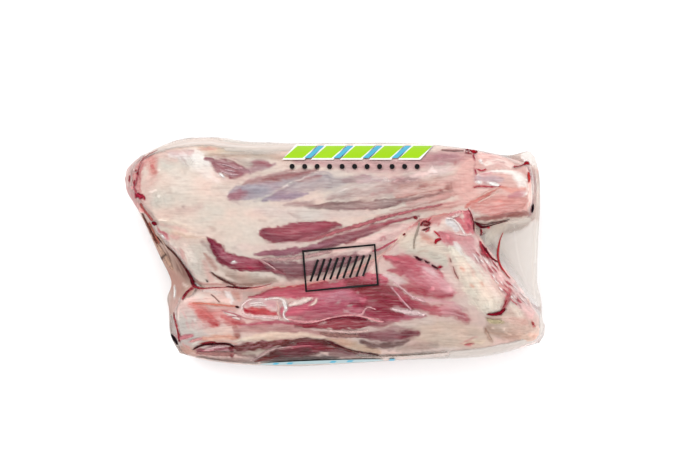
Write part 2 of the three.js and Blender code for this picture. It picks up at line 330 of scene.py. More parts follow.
BACK_PAINT = [
    # elbow
    Band("cool elbow", (226, 212, 200), [(165, 200, 18), (190, 214, 24), (215, 218, 20)], 0.7, 1.0, 0.2),
    Band("upper blush", (222, 188, 178), [(152, 158, 4), (162, 154, 6), (174, 158, 5)], 0.8, 0.9, 0.8),
    *strands("elbow ribs", (238, 228, 218), [(147, 188), (150, 198), (152, 210)], [(176, 182), (176, 194), (176, 206)],
             9, 1.0, 1, 0.45),
    *strands("elbow rib shades", (208, 194, 182), [(148, 190), (150, 200), (152, 212)],
             [(178, 184), (177, 196), (176, 208)], 9, 0.8, 2, 0.35),
    Band("lower elbow", (222, 210, 199), [(178, 243, 8), (196, 258, 16), (204, 272, 12)], 0.8, 0.8),
    *strands("lower elbow ribs", (236, 226, 216), [(180, 236), (186, 254), (192, 272)], [(206, 240), (206, 258), (204, 276)],
             9, 1.0, 3, 0.5),
    *strands("lower elbow shades", (208, 188, 178), [(180, 238), (186, 256), (192, 274)],
             [(206, 240), (206, 258), (204, 278)], 7, 0.8, 4, 0.4),
    Band("warm elbow", (240, 222, 210), [(160, 180, 9), (200, 184, 11), (222, 192, 10)], 0.6, 1.0, 0.2),
    # white shoulder and its tail: white fat with a painted soft highlight on the elbow's shoulder
    Band("white shoulder", (255, 250, 246), [(171, 154, 3), (186, 156, 5), (197, 157, 8), (206, 161, 6)], 0.75, 0.9, 0.7),
    Band("white shoulder tail", (248, 239, 232), [(195, 166, 4), (206, 173, 5), (218, 181, 3)], 0.8, 0.9, 0.7),
    Band("rim pink", (206, 146, 142),
         [(152, 151, 3), (143, 158, 5), (134, 170, 8), (132, 184, 8), (135, 197, 7), (143, 208, 3.5)], 0.92, 0.4, 0.6),
    *strands("rim light", (232, 190, 184), [(130, 170), (129, 182), (132, 198)], [(138, 170), (138, 182), (141, 196)],
             7, 0.7, 5, 0.6),
    *strands("rim red", (190, 92, 98), [(129, 168), (128, 182), (133, 200)], [(143, 160), (140, 176), (144, 200)],
             8, 0.5, 6, 0.6),
    Band("rim dusk", (190, 120, 118), [(127, 174, 2.5), (127, 188, 2.5), (133, 203, 2)], 0.6, 0.8),
    Band("salmon strip", (224, 184, 176), [(151, 178, 6), (146, 192, 6), (148, 206, 4)], 0.5, 1.0),
    Band("salmon patch", (214, 142, 134), [(150, 155, 3.4), (152, 164, 5), (153.6, 171, 4)], 0.85, 0.9, 0.9),
    Band("salmon core", (206, 108, 108), [(151, 165.5, 1.2), (153.2, 167.8, 1.7)], 0.75, 0.9, 0.9),
    Band("shoulder blush", (206, 162, 162), [(167, 149.5, 2), (178, 153, 4), (186, 154, 3.5), (192, 152, 2)], 0.55, 0.8, 1.0),
    *strands("shoulder wrinkles", FAT_AND_GLINT_WHITE, [(172, 154), (178, 159), (184, 166)], [(184, 150), (190, 155), (196, 162)],
             6, 0.7, 7, 0.8),
    *strands("shoulder shades", (196, 172, 166), [(173, 156), (179, 161), (185, 168)], [(182, 154), (186, 160), (190, 166)],
             4, 0.5, 8, 0.6),
    Band("peach edge", (239, 221, 206), [(168, 147, 3), (184, 144.5, 4), (200, 144, 3.4)], 0.8, 0.9),
    Band("ochre edge", (226, 206, 184), [(200, 147, 3), (212, 150, 4.5), (228, 149.5, 4), (242, 150, 3)], 0.8, 0.8),
    *strands("edge flecks", (214, 152, 144), [(190, 146), (200, 147), (212, 148)], [(200, 151), (210, 151), (222, 149)], 7, 0.5, 9, 0.5, (0.2, 0.5)),
    Band("rim line", (184, 110, 112), [(158, 149.6, 0.3), (149, 154.4, 0.5), (142, 160, 0.5), (139, 166, 0.5), (137.5, 172, 0.5)], 0.8, 0.5, 0.9, -0.2),
    Band("rim line low", (192, 92, 104), [(137.3, 176, 0.5), (135.4, 183, 0.5), (134.3, 188, 0.7), (137, 195.5, 1.1)], 0.85, 0.5, 0.9, -0.1),
    Band("rim inner line", (176, 84, 92), [(142.5, 163, 0.5), (140.5, 171, 0.8), (139.3, 179, 0.6)], 0.75),
    Band("rim speck", (140, 26, 44), [(137, 172, 0.9), (137.6, 174.6, 1.1)], 0.95, 0.5, 0.6),
    Band("rim clot", (168, 40, 64), [(135.5, 194.2, 1.4), (138.6, 195.6, 2.2), (142.4, 198, 1.3)], 1, 0.4, 1),
    Band("rim clot tail", (170, 46, 66), [(141, 194, 1), (144, 197, 1), (144.5, 200, 0.8)], 0.8),
    Band("rim dot", NEAR_BLACK, [(134.3, 184, 0.5), (134.5, 185.2, 0.5)], 0.85),
    Band("rim tail", (180, 92, 88), [(140, 203, 1.2), (144, 210, 1), (148, 215, 1), (153, 221, 1.2)], 0.85, 0.6, 0.6),
    Band("tendon", (240, 226, 211), [(155, 219.6, 1.2), (168, 221, 1.8), (180, 224, 2), (193, 229.6, 1.4)], 0.78, 0.5, 0.4, 0.5),
    Band("tendon pink", (226, 188, 180), [(157, 224, 1.2), (174, 227, 1.4), (188, 231.6, 1)], 0.6),
    Band("lower tendon", (239, 221, 205), [(162, 228.5, 1.2), (178, 232, 2), (192, 235.5, 1.9), (205, 239, 1)], 0.78, 0.6, 0.5, 0.5),
    Band("tendon ochre", (222, 198, 174), [(164, 230.6, 0.6), (180, 234.6, 0.9), (196, 238.6, 0.8)], 0.6),
    Band("nick", (221, 128, 138), [(159.5, 231.5, 2), (164, 235.3, 3.1), (167.5, 239, 1.8)], 0.88, 0.5, 0.6),
    Band("nick red", (176, 56, 78), [(158.5, 230.6, 0.8), (163, 231.8, 0.9), (166.6, 234.6, 0.7)], 0.7),
    Band("nick glint", FAT_AND_GLINT_WHITE, [(161.5, 234.4, 0.9), (164.3, 237.8, 1.1)], 0.95),
    Band("second nick", (225, 168, 162), [(172, 235.5, 2), (178, 238, 2)], 0.6, 0.9, 0.8),
    Band("web side", (178, 74, 76),
         [(150, 216, 0.7), (158, 228, 0.9), (164, 239, 0.9), (172, 247, 0.8), (179, 256, 0.9), (185, 267, 1), (191, 278, 1)],
         0.75, 0.6, 0.5),
    Band("web clot", CLOT, [(151.5, 222, 1.6), (154, 223.6, 1.8), (157.3, 224.6, 0.9)], 0.95, 0.5, 0.6),
    Band("low blush", (218, 172, 165), [(177, 250, 1.5), (183, 262, 2.2), (189, 272, 2.4), (196, 283, 3)], 0.75, 0.9),
    *strands("low veins", (202, 110, 108), [(176, 244), (180, 254), (186, 266)], [(182, 246), (186, 258), (192, 272)],
             5, 0.5, 10, 0.6, (0.2, 0.5)),
    Band("bruise", (150, 134, 130), [(182.4, 206.3, 1.2), (184.2, 207.5, 1.3)], 0.7, 0.9),
    Band("blush spots", (212, 180, 174), [(178, 210, 3), (190, 209.5, 3), (201, 206.5, 3)], 0.45, 1),
    Band("brown spot", (188, 160, 150), [(210.5, 228, 2), (214, 230, 2.2)], 0.5, 1, 0.6),
    Band("salmon low", (222, 172, 164), [(204, 262, 2), (208, 270, 3.5), (210, 279, 3)], 0.6, 1, 1.0),
    # first belly, near the back edge
    Band("edge shade", (198, 175, 160), [(206, 155.5, 1.5), (222, 155, 2), (245, 155, 3), (268, 155.5, 3), (286, 158, 2)],
         0.8, 0.8, 0.5),
    Band("first belly", (152, 96, 104), [(206, 158.5, 1.5), (213, 162, 4), (222, 166.5, 7.6), (232, 170, 9), (240, 172.3, 6.2), (247, 172.8, 3.5)], 0.95, 0.5, 0.9, 1.0),
    Band("belly link", (178, 144, 150), [(243, 172, 3.5), (254, 169.5, 3.5), (266, 166.5, 2.6), (275, 164, 1.2)], 0.85, 0.5, 0.9),
    Band("belly tip", (164, 102, 112), [(251, 164.5, 2.5), (258, 163, 3.4), (265, 163.5, 3), (270, 164.5, 1.5)],
         0.85, 0.6, 0.9),
    Band("belly tip red", (176, 104, 110), [(257, 162.3, 1), (260, 162.5, 1.4), (264.5, 163, 1)], 0.6, 0.7),
    Band("belly hollow", (197, 183, 174), [(238, 160, 2), (244, 162.3, 3.4), (249, 164.6, 3)], 0.85, 0.8, 0.6),
    Band("first belly dark", (150, 94, 108), [(230, 173, 1.8), (237, 175.5, 2), (243, 174, 1.2)], 0.5, 0.8, 0.8),
    *strands("first belly fibres", (208, 176, 180), [(210, 159), (226, 162), (242, 168)], [(216, 170), (230, 176), (242, 176)], 9, 0.6, 11, 0.7),
    Band("belly white rim", (249, 240, 233), [(211, 169.6, 0.5), (219, 175, 0.8), (226, 180, 0.6)], 0.7, 0.6, 0.8),
    Band("cream between", (228, 213, 202),
         [(215, 188, 5), (228, 185.4, 4.4), (240, 180.4, 3.2), (255, 175, 2.6), (275, 169.6, 2.2), (302, 165.5, 2)],
         0.95, 0.5, 0.3),
    Band("pink under cream", (208, 164, 162), [(250, 180.4, 0.6), (262, 176.8, 0.9), (280, 173, 0.9), (302, 169.2, 0.8)],
         0.7, 0.6, 0.6),
    # long belly under the print
    Band("print mauve", (206, 168, 168), [(296, 161, 3), (330, 163, 5), (360, 165, 7), (395, 165, 8), (440, 160, 7)],
         0.85, 0.7, 0.6),
    # purple belly, belly blue, belly silver and the grey flat: silverskin, with the film's dull grey reflection painted
    # into their colour
    Band("purple belly", (182, 168, 176), [(229, 196.5, 1.5), (236, 195, 6), (246, 192, 9), (258, 189.5, 9.6), (275, 186.5, 10), (292, 184, 9.5), (308, 182, 8.5), (326, 181, 7)], 0.96, 0.35, 0.9, 1.5),
    Band("belly start", (162, 103, 115), [(229, 197, 2), (234, 196, 4.5), (240, 195, 4.8), (246, 192, 2.5)],
         0.85, 0.6, 0.7),
    Band("belly top", (182, 148, 146), [(243, 184.5, 1.5), (252, 181.3, 3), (266, 179, 4), (282, 177, 4.6), (298, 175, 4.2), (315, 170.3, 2)], 0.92, 0.5, 1.0),
    Band("belly top red", (158, 102, 104), [(262, 180, 1), (274, 178.3, 1.6), (286, 176.8, 2.6), (298, 175, 2.2), (309, 172, 1.2)], 0.75, 0.7, 1.0),
    Band("belly blue", (170, 166, 176), [(243, 188.5, 2), (254, 189, 3.8), (266, 190.5, 3)], 0.65, 0.9, 1.0),
    *strands("belly silver", (200, 195, 200), [(240, 186), (254, 184), (270, 182)], [(240, 198), (256, 196), (274, 190)],
             9, 0.7, 12, 0.5, (0.15, 0.4)),
    *strands("belly dusk", (146, 132, 144), [(240, 188), (254, 188), (270, 186)], [(242, 199), (258, 198), (276, 192)],
             7, 0.6, 13, 0.4, (0.15, 0.4)),
    Band("grey flat", (188, 177, 178), [(284, 187.5, 4), (300, 184.5, 6), (316, 183, 7), (334, 182, 7), (350, 180, 3)], 0.9, 0.9, 0.8),
    Band("grey flat light", (192, 176, 174), [(318, 187, 2), (332, 183, 3), (346, 180, 2)], 0.6, 0.9, 1.0),
    Band("belly top low", (176, 134, 134), [(296, 182, 1.6), (308, 180, 3), (320, 177, 2)], 0.75, 0.9, 0.9),
    *strands("grey flat fibres", (208, 196, 194), [(288, 186), (310, 179), (332, 175)], [(296, 194), (316, 190), (344, 184)],
             9, 0.5, 14, 0.5),
    Band("purple patch", (163, 146, 165), [(263, 200, 1.4), (274, 198, 3), (288, 196.6, 3.7), (300, 195, 2.2), (308, 193, 1)],
         0.88, 0.5, 0.9),
    Band("first diagonal", (212, 200, 194), [(256, 202.5, 0.9), (262, 198.5, 0.9), (276, 191.5, 0.8), (290, 184.8, 0.8), (304, 178.6, 0.9), (317, 172.6, 0.9)], 0.78, 0.6, 0.8, 0.4),
    Band("diagonal shade", (158, 138, 146), [(270, 197, 0.7), (284, 190.4, 0.8), (299, 183.3, 0.6)], 0.5),
    Band("right flat", (192, 164, 160), [(330, 197, 3), (350, 193, 6), (372, 190, 7.5), (395, 188.5, 7.5), (420, 184, 6)], 0.9, 0.6, 0.7),
    Band("right flat pink", (200, 150, 150), [(372, 193.5, 1.5), (382, 190.5, 3), (392, 190, 2)], 0.6, 0.9, 1.0),
    *strands("right flat light", (230, 219, 212), [(318, 199), (350, 188), (385, 181)], [(332, 202), (366, 195), (404, 188)],
             8, 0.8, 15, 0.6),
    *strands("right flat dusk", (184, 160, 156), [(322, 200), (356, 190), (392, 184)], [(332, 202), (366, 196), (404, 190)],
             6, 0.6, 16, 0.5),
    Band("second diagonal", (220, 206, 200), [(298, 204.5, 1), (314, 200, 0.8), (330, 194.3, 0.8), (345, 189, 0.9), (360, 184.5, 1.2), (378, 181.5, 1.6)], 0.78, 0.6, 0.9, 0.4),
    Band("upper flat dusk", (174, 146, 148), [(344, 181, 2.2), (356, 179.6, 4), (370, 178, 3.2)], 0.75, 0.9, 0.9),
    Band("flat dusk", (176, 150, 148), [(284, 205, 1.4), (298, 204.6, 2.8), (313, 204.6, 3)], 0.85, 0.8, 0.8),
    Band("brown belly", (148, 118, 116), [(304, 207.4, 0.6), (318, 206.3, 2), (332, 206, 3.8), (350, 205.8, 4.8), (370, 205, 4.6), (388, 203, 4.2), (404, 200, 3.6), (422, 196, 3), (441, 191, 2.2)], 0.95, 0.25, 0.7, 1.2),
    Band("brown belly edge", (136, 98, 104), [(330, 209, 1), (350, 209.6, 1.2), (370, 208, 2), (386, 205.5, 1.8), (402, 202, 1.2)],
         0.65, 0.7, 0.9),
    *strands("brown belly fibres", (190, 168, 163), [(312, 205), (370, 202), (434, 191)], [(326, 209), (380, 207), (438, 195)],
             9, 0.55, 17, 0.5),
    Band("silver sheen", (216, 184, 186), [(358, 181.5, 1.5), (372, 179.5, 3), (388, 179.5, 3.4), (404, 178, 2)], 0.6, 0.9, 1.0),
    Band("flat dusk right", (170, 132, 134), [(393, 181.6, 2.4), (404, 180.2, 4), (417, 178.6, 2.8)], 0.75, 0.9, 0.9),
    *strands("sheen flecks", (188, 146, 158), [(352, 175), (372, 175), (396, 174)], [(356, 180), (378, 182), (404, 184)],
             9, 0.5, 18, 0.6, (0.1, 0.3)),
    Band("wrist mauve", (198, 152, 154), [(425, 158, 4), (440, 158, 6.5), (456, 158.5, 7.5), (472, 160, 7)], 0.9, 0.7, 0.8),
    # painted sheen of the film along the flank
    Band("flank sheen", (232, 204, 200), [(411, 176, 1.5), (424, 174.5, 3.5), (436, 172, 4.6), (446, 170, 3.6), (453, 168.3, 1.4)], 0.85, 0.7, 1.0),
    Band("deep mauve", (183, 132, 141), [(436, 156.5, 1.5), (450, 156, 2), (463, 157.6, 1.6)], 0.55, 0.9, 1.0),
    Band("red fleck", (172, 84, 96), [(454, 165, 0.5), (455.6, 161.4, 0.9)], 0.65),
    Band("right cream", (206, 166, 158), [(402, 188, 3), (425, 182, 3.5), (450, 177, 3), (472, 173, 2)], 0.65, 0.8, 0.6),
    Band("salmon flank", (200, 142, 134), [(398, 197, 2), (412, 192.5, 3.5), (430, 187, 4.5), (450, 181, 4.5), (473, 176, 3)], 0.8, 0.7, 1.0),
    *strands("flank shade", (184, 124, 120), [(396, 196), (430, 184), (472, 172)], [(404, 200), (436, 195), (474, 188)], 9, 0.7, 19),
    *strands("flank light", (236, 208, 198), [(396, 194), (430, 181), (472, 169)], [(404, 200), (436, 194), (474, 189)],
             10, 0.8, 20, 0.6),
    Band("salmon low flank", (212, 148, 143), [(440, 196, 2), (455, 192, 3), (475, 188, 2.2)], 0.7, 0.8, 1.0),
    Band("flank pale", (228, 192, 184), [(396, 193.4, 2), (404, 191.8, 3.2), (413, 189, 2.6)], 0.8, 0.9, 0.8),
    Band("flank pale right", (234, 196, 188), [(440, 183.4, 2), (450, 180.6, 3.2), (459, 177, 2.2)], 0.8, 0.9, 0.8),
    Band("flank end", (166, 112, 106), [(448, 188, 2.4), (457, 186, 5), (465, 185, 6.6), (471, 180, 5)], 0.88, 0.9, 0.8),
    Band("pink between", (216, 168, 162), [(408, 203.6, 2.2), (430, 199, 2.8), (448, 195, 2.4)], 0.8, 0.7, 0.8),
    Band("grey line", (160, 122, 118), [(396, 203.6, 0.6), (424, 197.6, 0.8), (444, 192.8, 0.7), (466, 187.6, 0.4)], 0.78, 0.6, 0.9, -0.15),
    Band("brown line", (178, 118, 114), [(390, 210.4, 0.5), (410, 206.8, 0.8), (430, 202.4, 0.8), (450, 197, 0.7), (470, 191.6, 0.5)], 0.78, 0.6, 0.9, -0.15),
    Band("low cream", (226, 190, 182), [(376, 217, 1), (396, 213.2, 2.2), (412, 210.4, 3.2), (434, 207, 4), (452, 204.4, 3.6), (468, 201, 2)], 0.9, 0.6, 0.5, 0.5),
    Band("flank corner", (188, 138, 130), [(456, 192.4, 2.4), (464, 187.6, 5.2), (470, 183, 4.6)], 0.8, 0.9, 0.9),
    *strands("low cream lines", (206, 148, 144), [(400, 213), (430, 207), (464, 198)], [(412, 214), (440, 209), (470, 203)], 3, 0.5, 21),
    Band("mid cream", (225, 213, 206), [(258, 210, 4), (285, 213, 6), (312, 214, 5.5), (345, 214, 3.5), (374, 212, 1.5)],
         0.8, 0.7, 0.3),
    Band("cream fold a", (194, 176, 170), [(288, 212.3, 0.8), (294, 215, 1.3), (300, 218.4, 0.8)], 0.55, 0.8),
    Band("cream fold b", (204, 180, 170), [(259, 220, 1.5), (265, 221, 1.6)], 0.5, 0.9),
    # red bellies
    Band("red belly", (154, 80, 92), [(259, 231, 1), (264, 233.5, 4.6), (272, 235.5, 7.5), (284, 234.5, 9.2), (298, 232.5, 10), (312, 230.5, 9.2), (324, 228, 6.8), (332, 225.8, 4), (341, 225.6, 1.2)], 1, 0.14, 0.5, 2.0),
    Band("red belly light", (172, 82, 98), [(296, 229.4, 3.5), (312, 226.8, 4), (329, 223.6, 2.4)], 0.75, 0.8, 1.0),
    Band("red belly dark", (118, 52, 68), [(262, 232, 1.5), (272, 237, 2.6), (288, 239.5, 2.2), (303, 237.5, 1.5)],
         0.65, 0.8, 1.0),
    Band("red belly fade", (190, 128, 134), [(298, 241, 1.2), (314, 237.8, 1.8), (328, 233.5, 1.8), (339, 229, 1.4)], 0.75, 0.8, 0.9),
    *strands("red belly fibres", (184, 116, 126), [(266, 230), (300, 223), (332, 222)], [(266, 241), (300, 240), (330, 231)],
             13, 0.45, 22, 0.4),
    Band("upper strap", (180, 106, 112), [(308, 241, 0.6), (322, 236.6, 1.3), (340, 230.8, 1.7), (358, 225.6, 1.9), (380, 218.8, 1.6), (400, 213.6, 1.2), (420, 208.8, 0.9), (442, 204.4, 0.6)], 0.92, 0.4, 0.8, 0.5),
    Band("second strap", (146, 74, 88), [(318, 243, 1), (330, 240, 2.4), (345, 236, 3), (360, 231.5, 3.1), (381, 225, 2.8), (398, 220.2, 2), (410, 217.8, 1.1), (420, 216, 0.6)], 0.94, 0.4, 0.8, 0.6),
    Band("strap parting", (212, 176, 174), [(310, 242, 0.9), (324, 238.6, 1), (345, 232.9, 1.1), (365, 227.6, 1.1), (388, 221.2, 1), (411, 214.4, 0.8)], 0.72, 0.5, 0.4, 0.3),
    Band("strap red", (170, 62, 80), [(370, 226.6, 1.2), (384, 223.4, 1.6), (398, 219.8, 1.4), (410, 217.4, 0.8)], 0.6, 0.7, 0.8),
    Band("third strap", (134, 76, 90), [(306, 249.6, 1), (318, 247.8, 2.3), (330, 245, 3), (345, 240.8, 2.8), (360, 236, 2.3), (377, 230.3, 1.5)], 0.94, 0.5, 0.9),
    Band("strap pale", (200, 156, 158), [(326, 243.6, 0.5), (346, 238.8, 0.8), (366, 233, 0.7), (384, 228, 0.5)], 0.6),
    Band("strap end dusk", (180, 124, 126), [(372, 230.4, 1), (384, 228, 2), (396, 226, 2), (408, 224.6, 1)], 0.75, 0.9, 0.9),
    Band("red spot", (138, 44, 62), [(345.6, 243.6, 1.2), (352, 241.5, 2), (359.3, 239, 1.2)], 0.78, 0.8),
    Band("cream under straps", (244, 212, 206), [(336, 250, 2), (360, 244.4, 3.8), (385, 236.6, 5.6), (403, 229.4, 5), (418, 223, 2)], 0.9, 0.6, 0.6),
    *strands("under strap lines", (210, 156, 158), [(352, 247), (384, 236), (416, 221)], [(368, 249), (394, 240), (410, 230)],
             7, 0.5, 23, 0.6),
    Band("thin belly", (158, 102, 117),
         [(254, 254, 0.8), (264, 253.2, 2.4), (280, 252.6, 3.5), (298, 250.6, 3.5), (312, 248, 2.9), (324, 244.5, 2),
          (335, 241.3, 1)], 0.96, 0.3, 0.8, 0.8),
    Band("thin belly dark", (134, 74, 92), [(274, 254, 1.2), (294, 252.3, 1.4), (311, 249, 1)], 0.5, 0.7, 0.8),
    Band("cream over thin", (227, 210, 202), [(238, 247, 4), (262, 247, 2.8), (285, 245.3, 2.2), (304, 243.4, 1.4)], 0.8, 0.6),
    Band("pink under thin", (190, 152, 150), [(262, 259.3, 1.4), (285, 259, 1.8), (305, 256.8, 1.8), (331, 251, 1.8)], 0.8, 0.7, 0.8),
    Band("low belly", (144, 98, 106), [(263, 261.5, 1), (276, 264.8, 3.8), (290, 267.8, 6.4), (303, 268.8, 8), (318, 267.2, 7.4), (336, 262.6, 6.6), (352, 258.4, 5), (369, 253.4, 2)], 0.94, 0.35, 0.9, 0.8),
    Band("low belly dark", (128, 76, 86), [(284, 272, 1.2), (296, 273.8, 3), (310, 272.6, 3), (328, 267.6, 2)], 0.75, 0.6, 0.9),
    Band("low belly light", (184, 146, 150), [(300, 262, 1), (320, 258.6, 1.6), (342, 254, 1.6), (363, 250.4, 1)], 0.5, 0.8, 0.9),
    Band("crescent", (138, 52, 70), [(207, 238, 0.8), (212, 242.6, 4), (218, 250, 5.8), (225, 258, 7), (236, 262.4, 7.4), (248, 264.6, 7.2), (260, 265.6, 6.4), (272, 268.5, 4), (285, 272.3, 1.6)], 1, 0.15, 0.5, 1.6),
    Band("crescent dark", (122, 50, 73), [(210, 241, 1.8), (214, 245.5, 2.2), (222, 253.5, 2.4), (233, 260.8, 2.2)],
         0.6, 0.8, 0.9),
    Band("crescent red", (170, 60, 83), [(238, 264.3, 1.8), (248, 266.8, 2.2), (259, 267.3, 2)], 0.7, 0.8, 0.9),
    Band("crescent pink", (187, 114, 127), [(228, 256.4, 1.4), (240, 258.6, 1.8), (257, 260.6, 1.6)], 0.6, 0.9, 1.0),
    *strands("crescent fibres", (186, 112, 126), [(212, 241), (234, 256), (266, 263)], [(214, 248), (232, 264), (262, 271)],
             11, 0.45, 24, 0.45),
    Band("crescent glint", FAT_AND_GLINT_WHITE, [(231.5, 261.8, 0.6), (235.7, 261, 0.9)], 0.85),
    Band("crescent shade", (187, 164, 158), [(202, 241.5, 1.5), (206, 245.5, 2), (211, 252.5, 1.4)], 0.7, 0.9, 0.8),
    Band("crescent glow", (190, 144, 134), [(205, 254, 1.4), (211, 262, 2.8), (216, 268.4, 2)], 0.8, 0.9, 0.8),
    # painted shadow below the crescent
    Band("under crescent", (204, 184, 172), [(220, 267.4, 1.4), (229, 272, 2.6), (242, 275.4, 3), (257, 276, 2.4)], 0.75, 0.8, 0.5),
    Band("pale thread", (218, 176, 176), [(257.6, 258.6, 0.4), (266, 263, 0.5), (275, 269, 0.5), (281, 273.6, 0.4)], 0.88, 0.5, 0.3, 0.4),
    # lower cream and its edge: the elbow's cream in painted shade, where the elbow rounds down towards the join
    Band("lower cream", (180, 158, 146), [(228, 275, 2.6), (242, 279.6, 4.4), (258, 280.6, 4), (274, 279, 2.4)], 0.88, 0.6, 0.4),
    Band("lower cream edge", (176, 150, 136), [(244, 284, 1), (262, 283.4, 1.2), (278, 280.6, 1)], 0.6, 0.8),
    Band("crescent tail", (134, 84, 90), [(268, 266.4, 2.4), (281, 271.4, 4.6), (292, 274.4, 5.4), (303, 275, 3.6)], 0.9, 0.7, 0.8),
    Band("fold shade", (150, 114, 102), [(210, 272, 0.8), (218, 277.6, 1.8), (227, 282.4, 2.4), (238, 285.4, 1.8), (252, 285.6, 1)], 0.7, 0.9, 0.6),
    Band("fold line", (100, 52, 50), [(211.5, 272, 0.4), (218, 277.6, 0.7), (226, 281.8, 0.8), (236, 285.9, 0.8)], 0.9, 0.45, 0.6, -0.4),
    Band("pin dot", NEAR_BLACK, [(206.7, 280.4, 0.9), (207.5, 282, 0.9)], 0.85),
    Band("low pink strip", (232, 188, 180), [(198, 284.4, 1.6), (215, 284.6, 1.5), (238, 284.8, 1)], 0.75, 0.7, 0.6),
    Band("elbow low light", (250, 236, 226), [(185, 245, 2.4), (189, 253, 4), (194, 262, 3)], 0.8, 0.9, 0.6),
    Band("low right pink", (238, 208, 202), [(360, 252.6, 2), (378, 247, 3.6), (394, 240.6, 3.8), (405, 236, 2.6)], 0.9, 0.7, 0.6),
    Band("low right pale", (212, 186, 184), [(366, 256, 1.6), (378, 252.6, 3), (388, 247.4, 2.4)], 0.85, 0.8, 0.8),
    Band("red thread", (184, 84, 102), [(372, 251.4, 0.5), (380, 248.8, 0.8), (390, 243.4, 0.8), (397.4, 239.4, 0.6)], 0.85),
    Band("clot a", CLOT, [(402.4, 235.4, 1.1), (405.8, 233.4, 1.4)], 0.95, 0.4, 0.6),
    Band("clot b", (178, 68, 88), [(381, 239.8, 0.7), (383, 237, 0.8), (385, 238.8, 0.7)], 0.75),
    # wrist
    Band("wrist base", (232, 192, 184), [(480, 180, 28), (505, 184, 30), (524, 188, 26)], 0.92, 0.25, 0.3),
    Band("wrist top pink", (240, 204, 197), [(480, 156, 4), (493, 157, 6), (509, 163.5, 5)], 0.85, 0.8, 0.9),
    Band("wrist top light", (255, 238, 230), [(486, 164, 2.4), (498, 161.6, 3.5), (511, 166, 2.5)], 0.92, 0.9, 0.9),
    *strands("wrist top veins", (216, 150, 150), [(478, 153), (494, 154), (510, 161)], [(480, 168), (496, 167), (512, 168)],
             7, 0.5, 25, 0.5),
    Band("wrist glass", (203, 186, 192), [(477, 178.5, 2.6), (488, 179, 4.5), (501, 180, 3.2)], 0.85, 0.8, 0.9),
    Band("wrist cream bar", (255, 250, 244), [(477, 175, 0.8), (486, 172.6, 1.2), (500, 171, 1.6), (512, 172.4, 2.8), (519, 177.4, 5), (523, 185, 5.2), (524.4, 193, 2.8)], 0.95, 0.5, 0.3, 0.8),
    Band("bar vein", (190, 60, 78), [(477.4, 169.2, 0.5), (482, 170.4, 0.6), (486.4, 168.6, 0.4)], 0.9, 0.5, 0.8),
    Band("bar vein two", (220, 120, 132), [(480, 174, 0.5), (486, 173.2, 0.7), (492, 172.6, 0.5)], 0.75),
    Band("mid red line", (188, 84, 94), [(473.6, 187.3, 0.8), (480, 186.4, 0.7), (490, 186.8, 0.7), (501, 185.6, 0.7)], 0.9, 0.5, 0.9),
    Band("wrist pale", (231, 202, 194), [(478, 191, 2), (492, 191, 2.2), (508, 193, 2)], 0.7, 0.8, 0.8),
    Band("wrist strap", (204, 112, 102), [(502.6, 186.6, 0.8), (492, 191.6, 1.5), (481, 197.6, 2.3), (471, 203.2, 1.8), (465, 207, 0.9)], 0.79, 0.6, 1, 0.5),
    # strap light and strap split: painted highlights on the strap
    Band("strap light", (242, 206, 194), [(500, 191, 0.4), (490, 196.2, 0.5), (478, 202.6, 0.5)], 0.88),
    Band("strap split", (240, 200, 188), [(499, 187.2, 0.3), (487, 192.4, 0.5), (474, 199, 0.4)], 0.85),
    Band("strap to end", (228, 154, 140), [(502, 188, 1.4), (512, 190, 2.4), (524.6, 189.3, 1.8)], 0.75, 0.9, 0.6),
    Band("wrist bruise", (198, 136, 150), [(509, 196.4, 1.6), (515, 196, 3.3), (521.4, 194, 2.6)], 0.75, 0.8, 1.0),
    Band("wrist low", (218, 156, 148), [(474, 206.5, 5), (488, 206.5, 8), (504, 205.5, 9), (521, 204, 8)], 0.9, 0.6, 0.8),
    Band("wrist low pale", (236, 194, 184), [(476, 208, 2.4), (487, 207, 3.2), (499, 205, 2)], 0.78, 0.8, 1.0),
    *strands("wrist low lines", (190, 98, 98), [(470, 206), (494, 204), (524, 200)], [(474, 216), (498, 214), (526, 209)],
             10, 0.6, 26, 0.55),
    *strands("wrist low lights", (238, 200, 192), [(472, 205), (496, 202), (524, 199)], [(476, 214), (500, 212), (526, 207)],
             8, 0.6, 27, 0.5),
    # wrist underside and wrist end shade: painted shade towards the wrist's lower edge; wrist under edge: a blood-red
    # line in the gap there, darkened as painted shade
    Band("wrist underside", (158, 98, 94), [(477, 218.6, 2), (492, 217.8, 2.6), (508, 215, 2.4), (526, 212.4, 1.6)], 0.9, 0.6, 0.8),
    Band("wrist end shade", (152, 96, 88), [(508, 217, 1.2), (518, 214.8, 2.4), (527, 213, 2.6)], 0.9, 0.7, 0.7),
    Band("wrist under edge", (96, 26, 32), [(475, 222, 0.4), (484, 224.6, 0.6), (496, 222.4, 0.4), (510, 219.2, 0.3)], 0.82, 0.6, 0.7),
    Band("wrist end pale", (247, 237, 228), [(526.4, 165, 0.8), (528.4, 180, 0.7), (529, 196, 0.8), (527.8, 209, 0.7)], 0.6),
    Band("wrist crease", (220, 166, 164), [(474.5, 150, 0.8), (475, 165, 0.9), (475.5, 187, 0.8)], 0.55, 0.6, 0.3, -0.8),
    Band("crease vein", (166, 50, 72), [(473.4, 154.4, 0.6), (474.3, 159.4, 0.6)], 0.92, 0.5, 0.9),
    Band("crease vein low", (166, 56, 78), [(475, 169, 0.5), (476.4, 174.6, 0.6)], 0.88, 0.5, 0.9),
    Band("crease clots", (166, 28, 42),
         [(465.6, 149.4, 0.9), (469.5, 148.6, 1.5), (472.6, 150.8, 1.6), (475.4, 151.9, 1.4), (477.6, 150.6, 0.8)], 1, 0.4, 0.8),
    Band("edge line", (168, 122, 120), [(441, 149.8, 0.5), (452, 150.4, 0.7), (464, 150.3, 0.5)], 0.85),
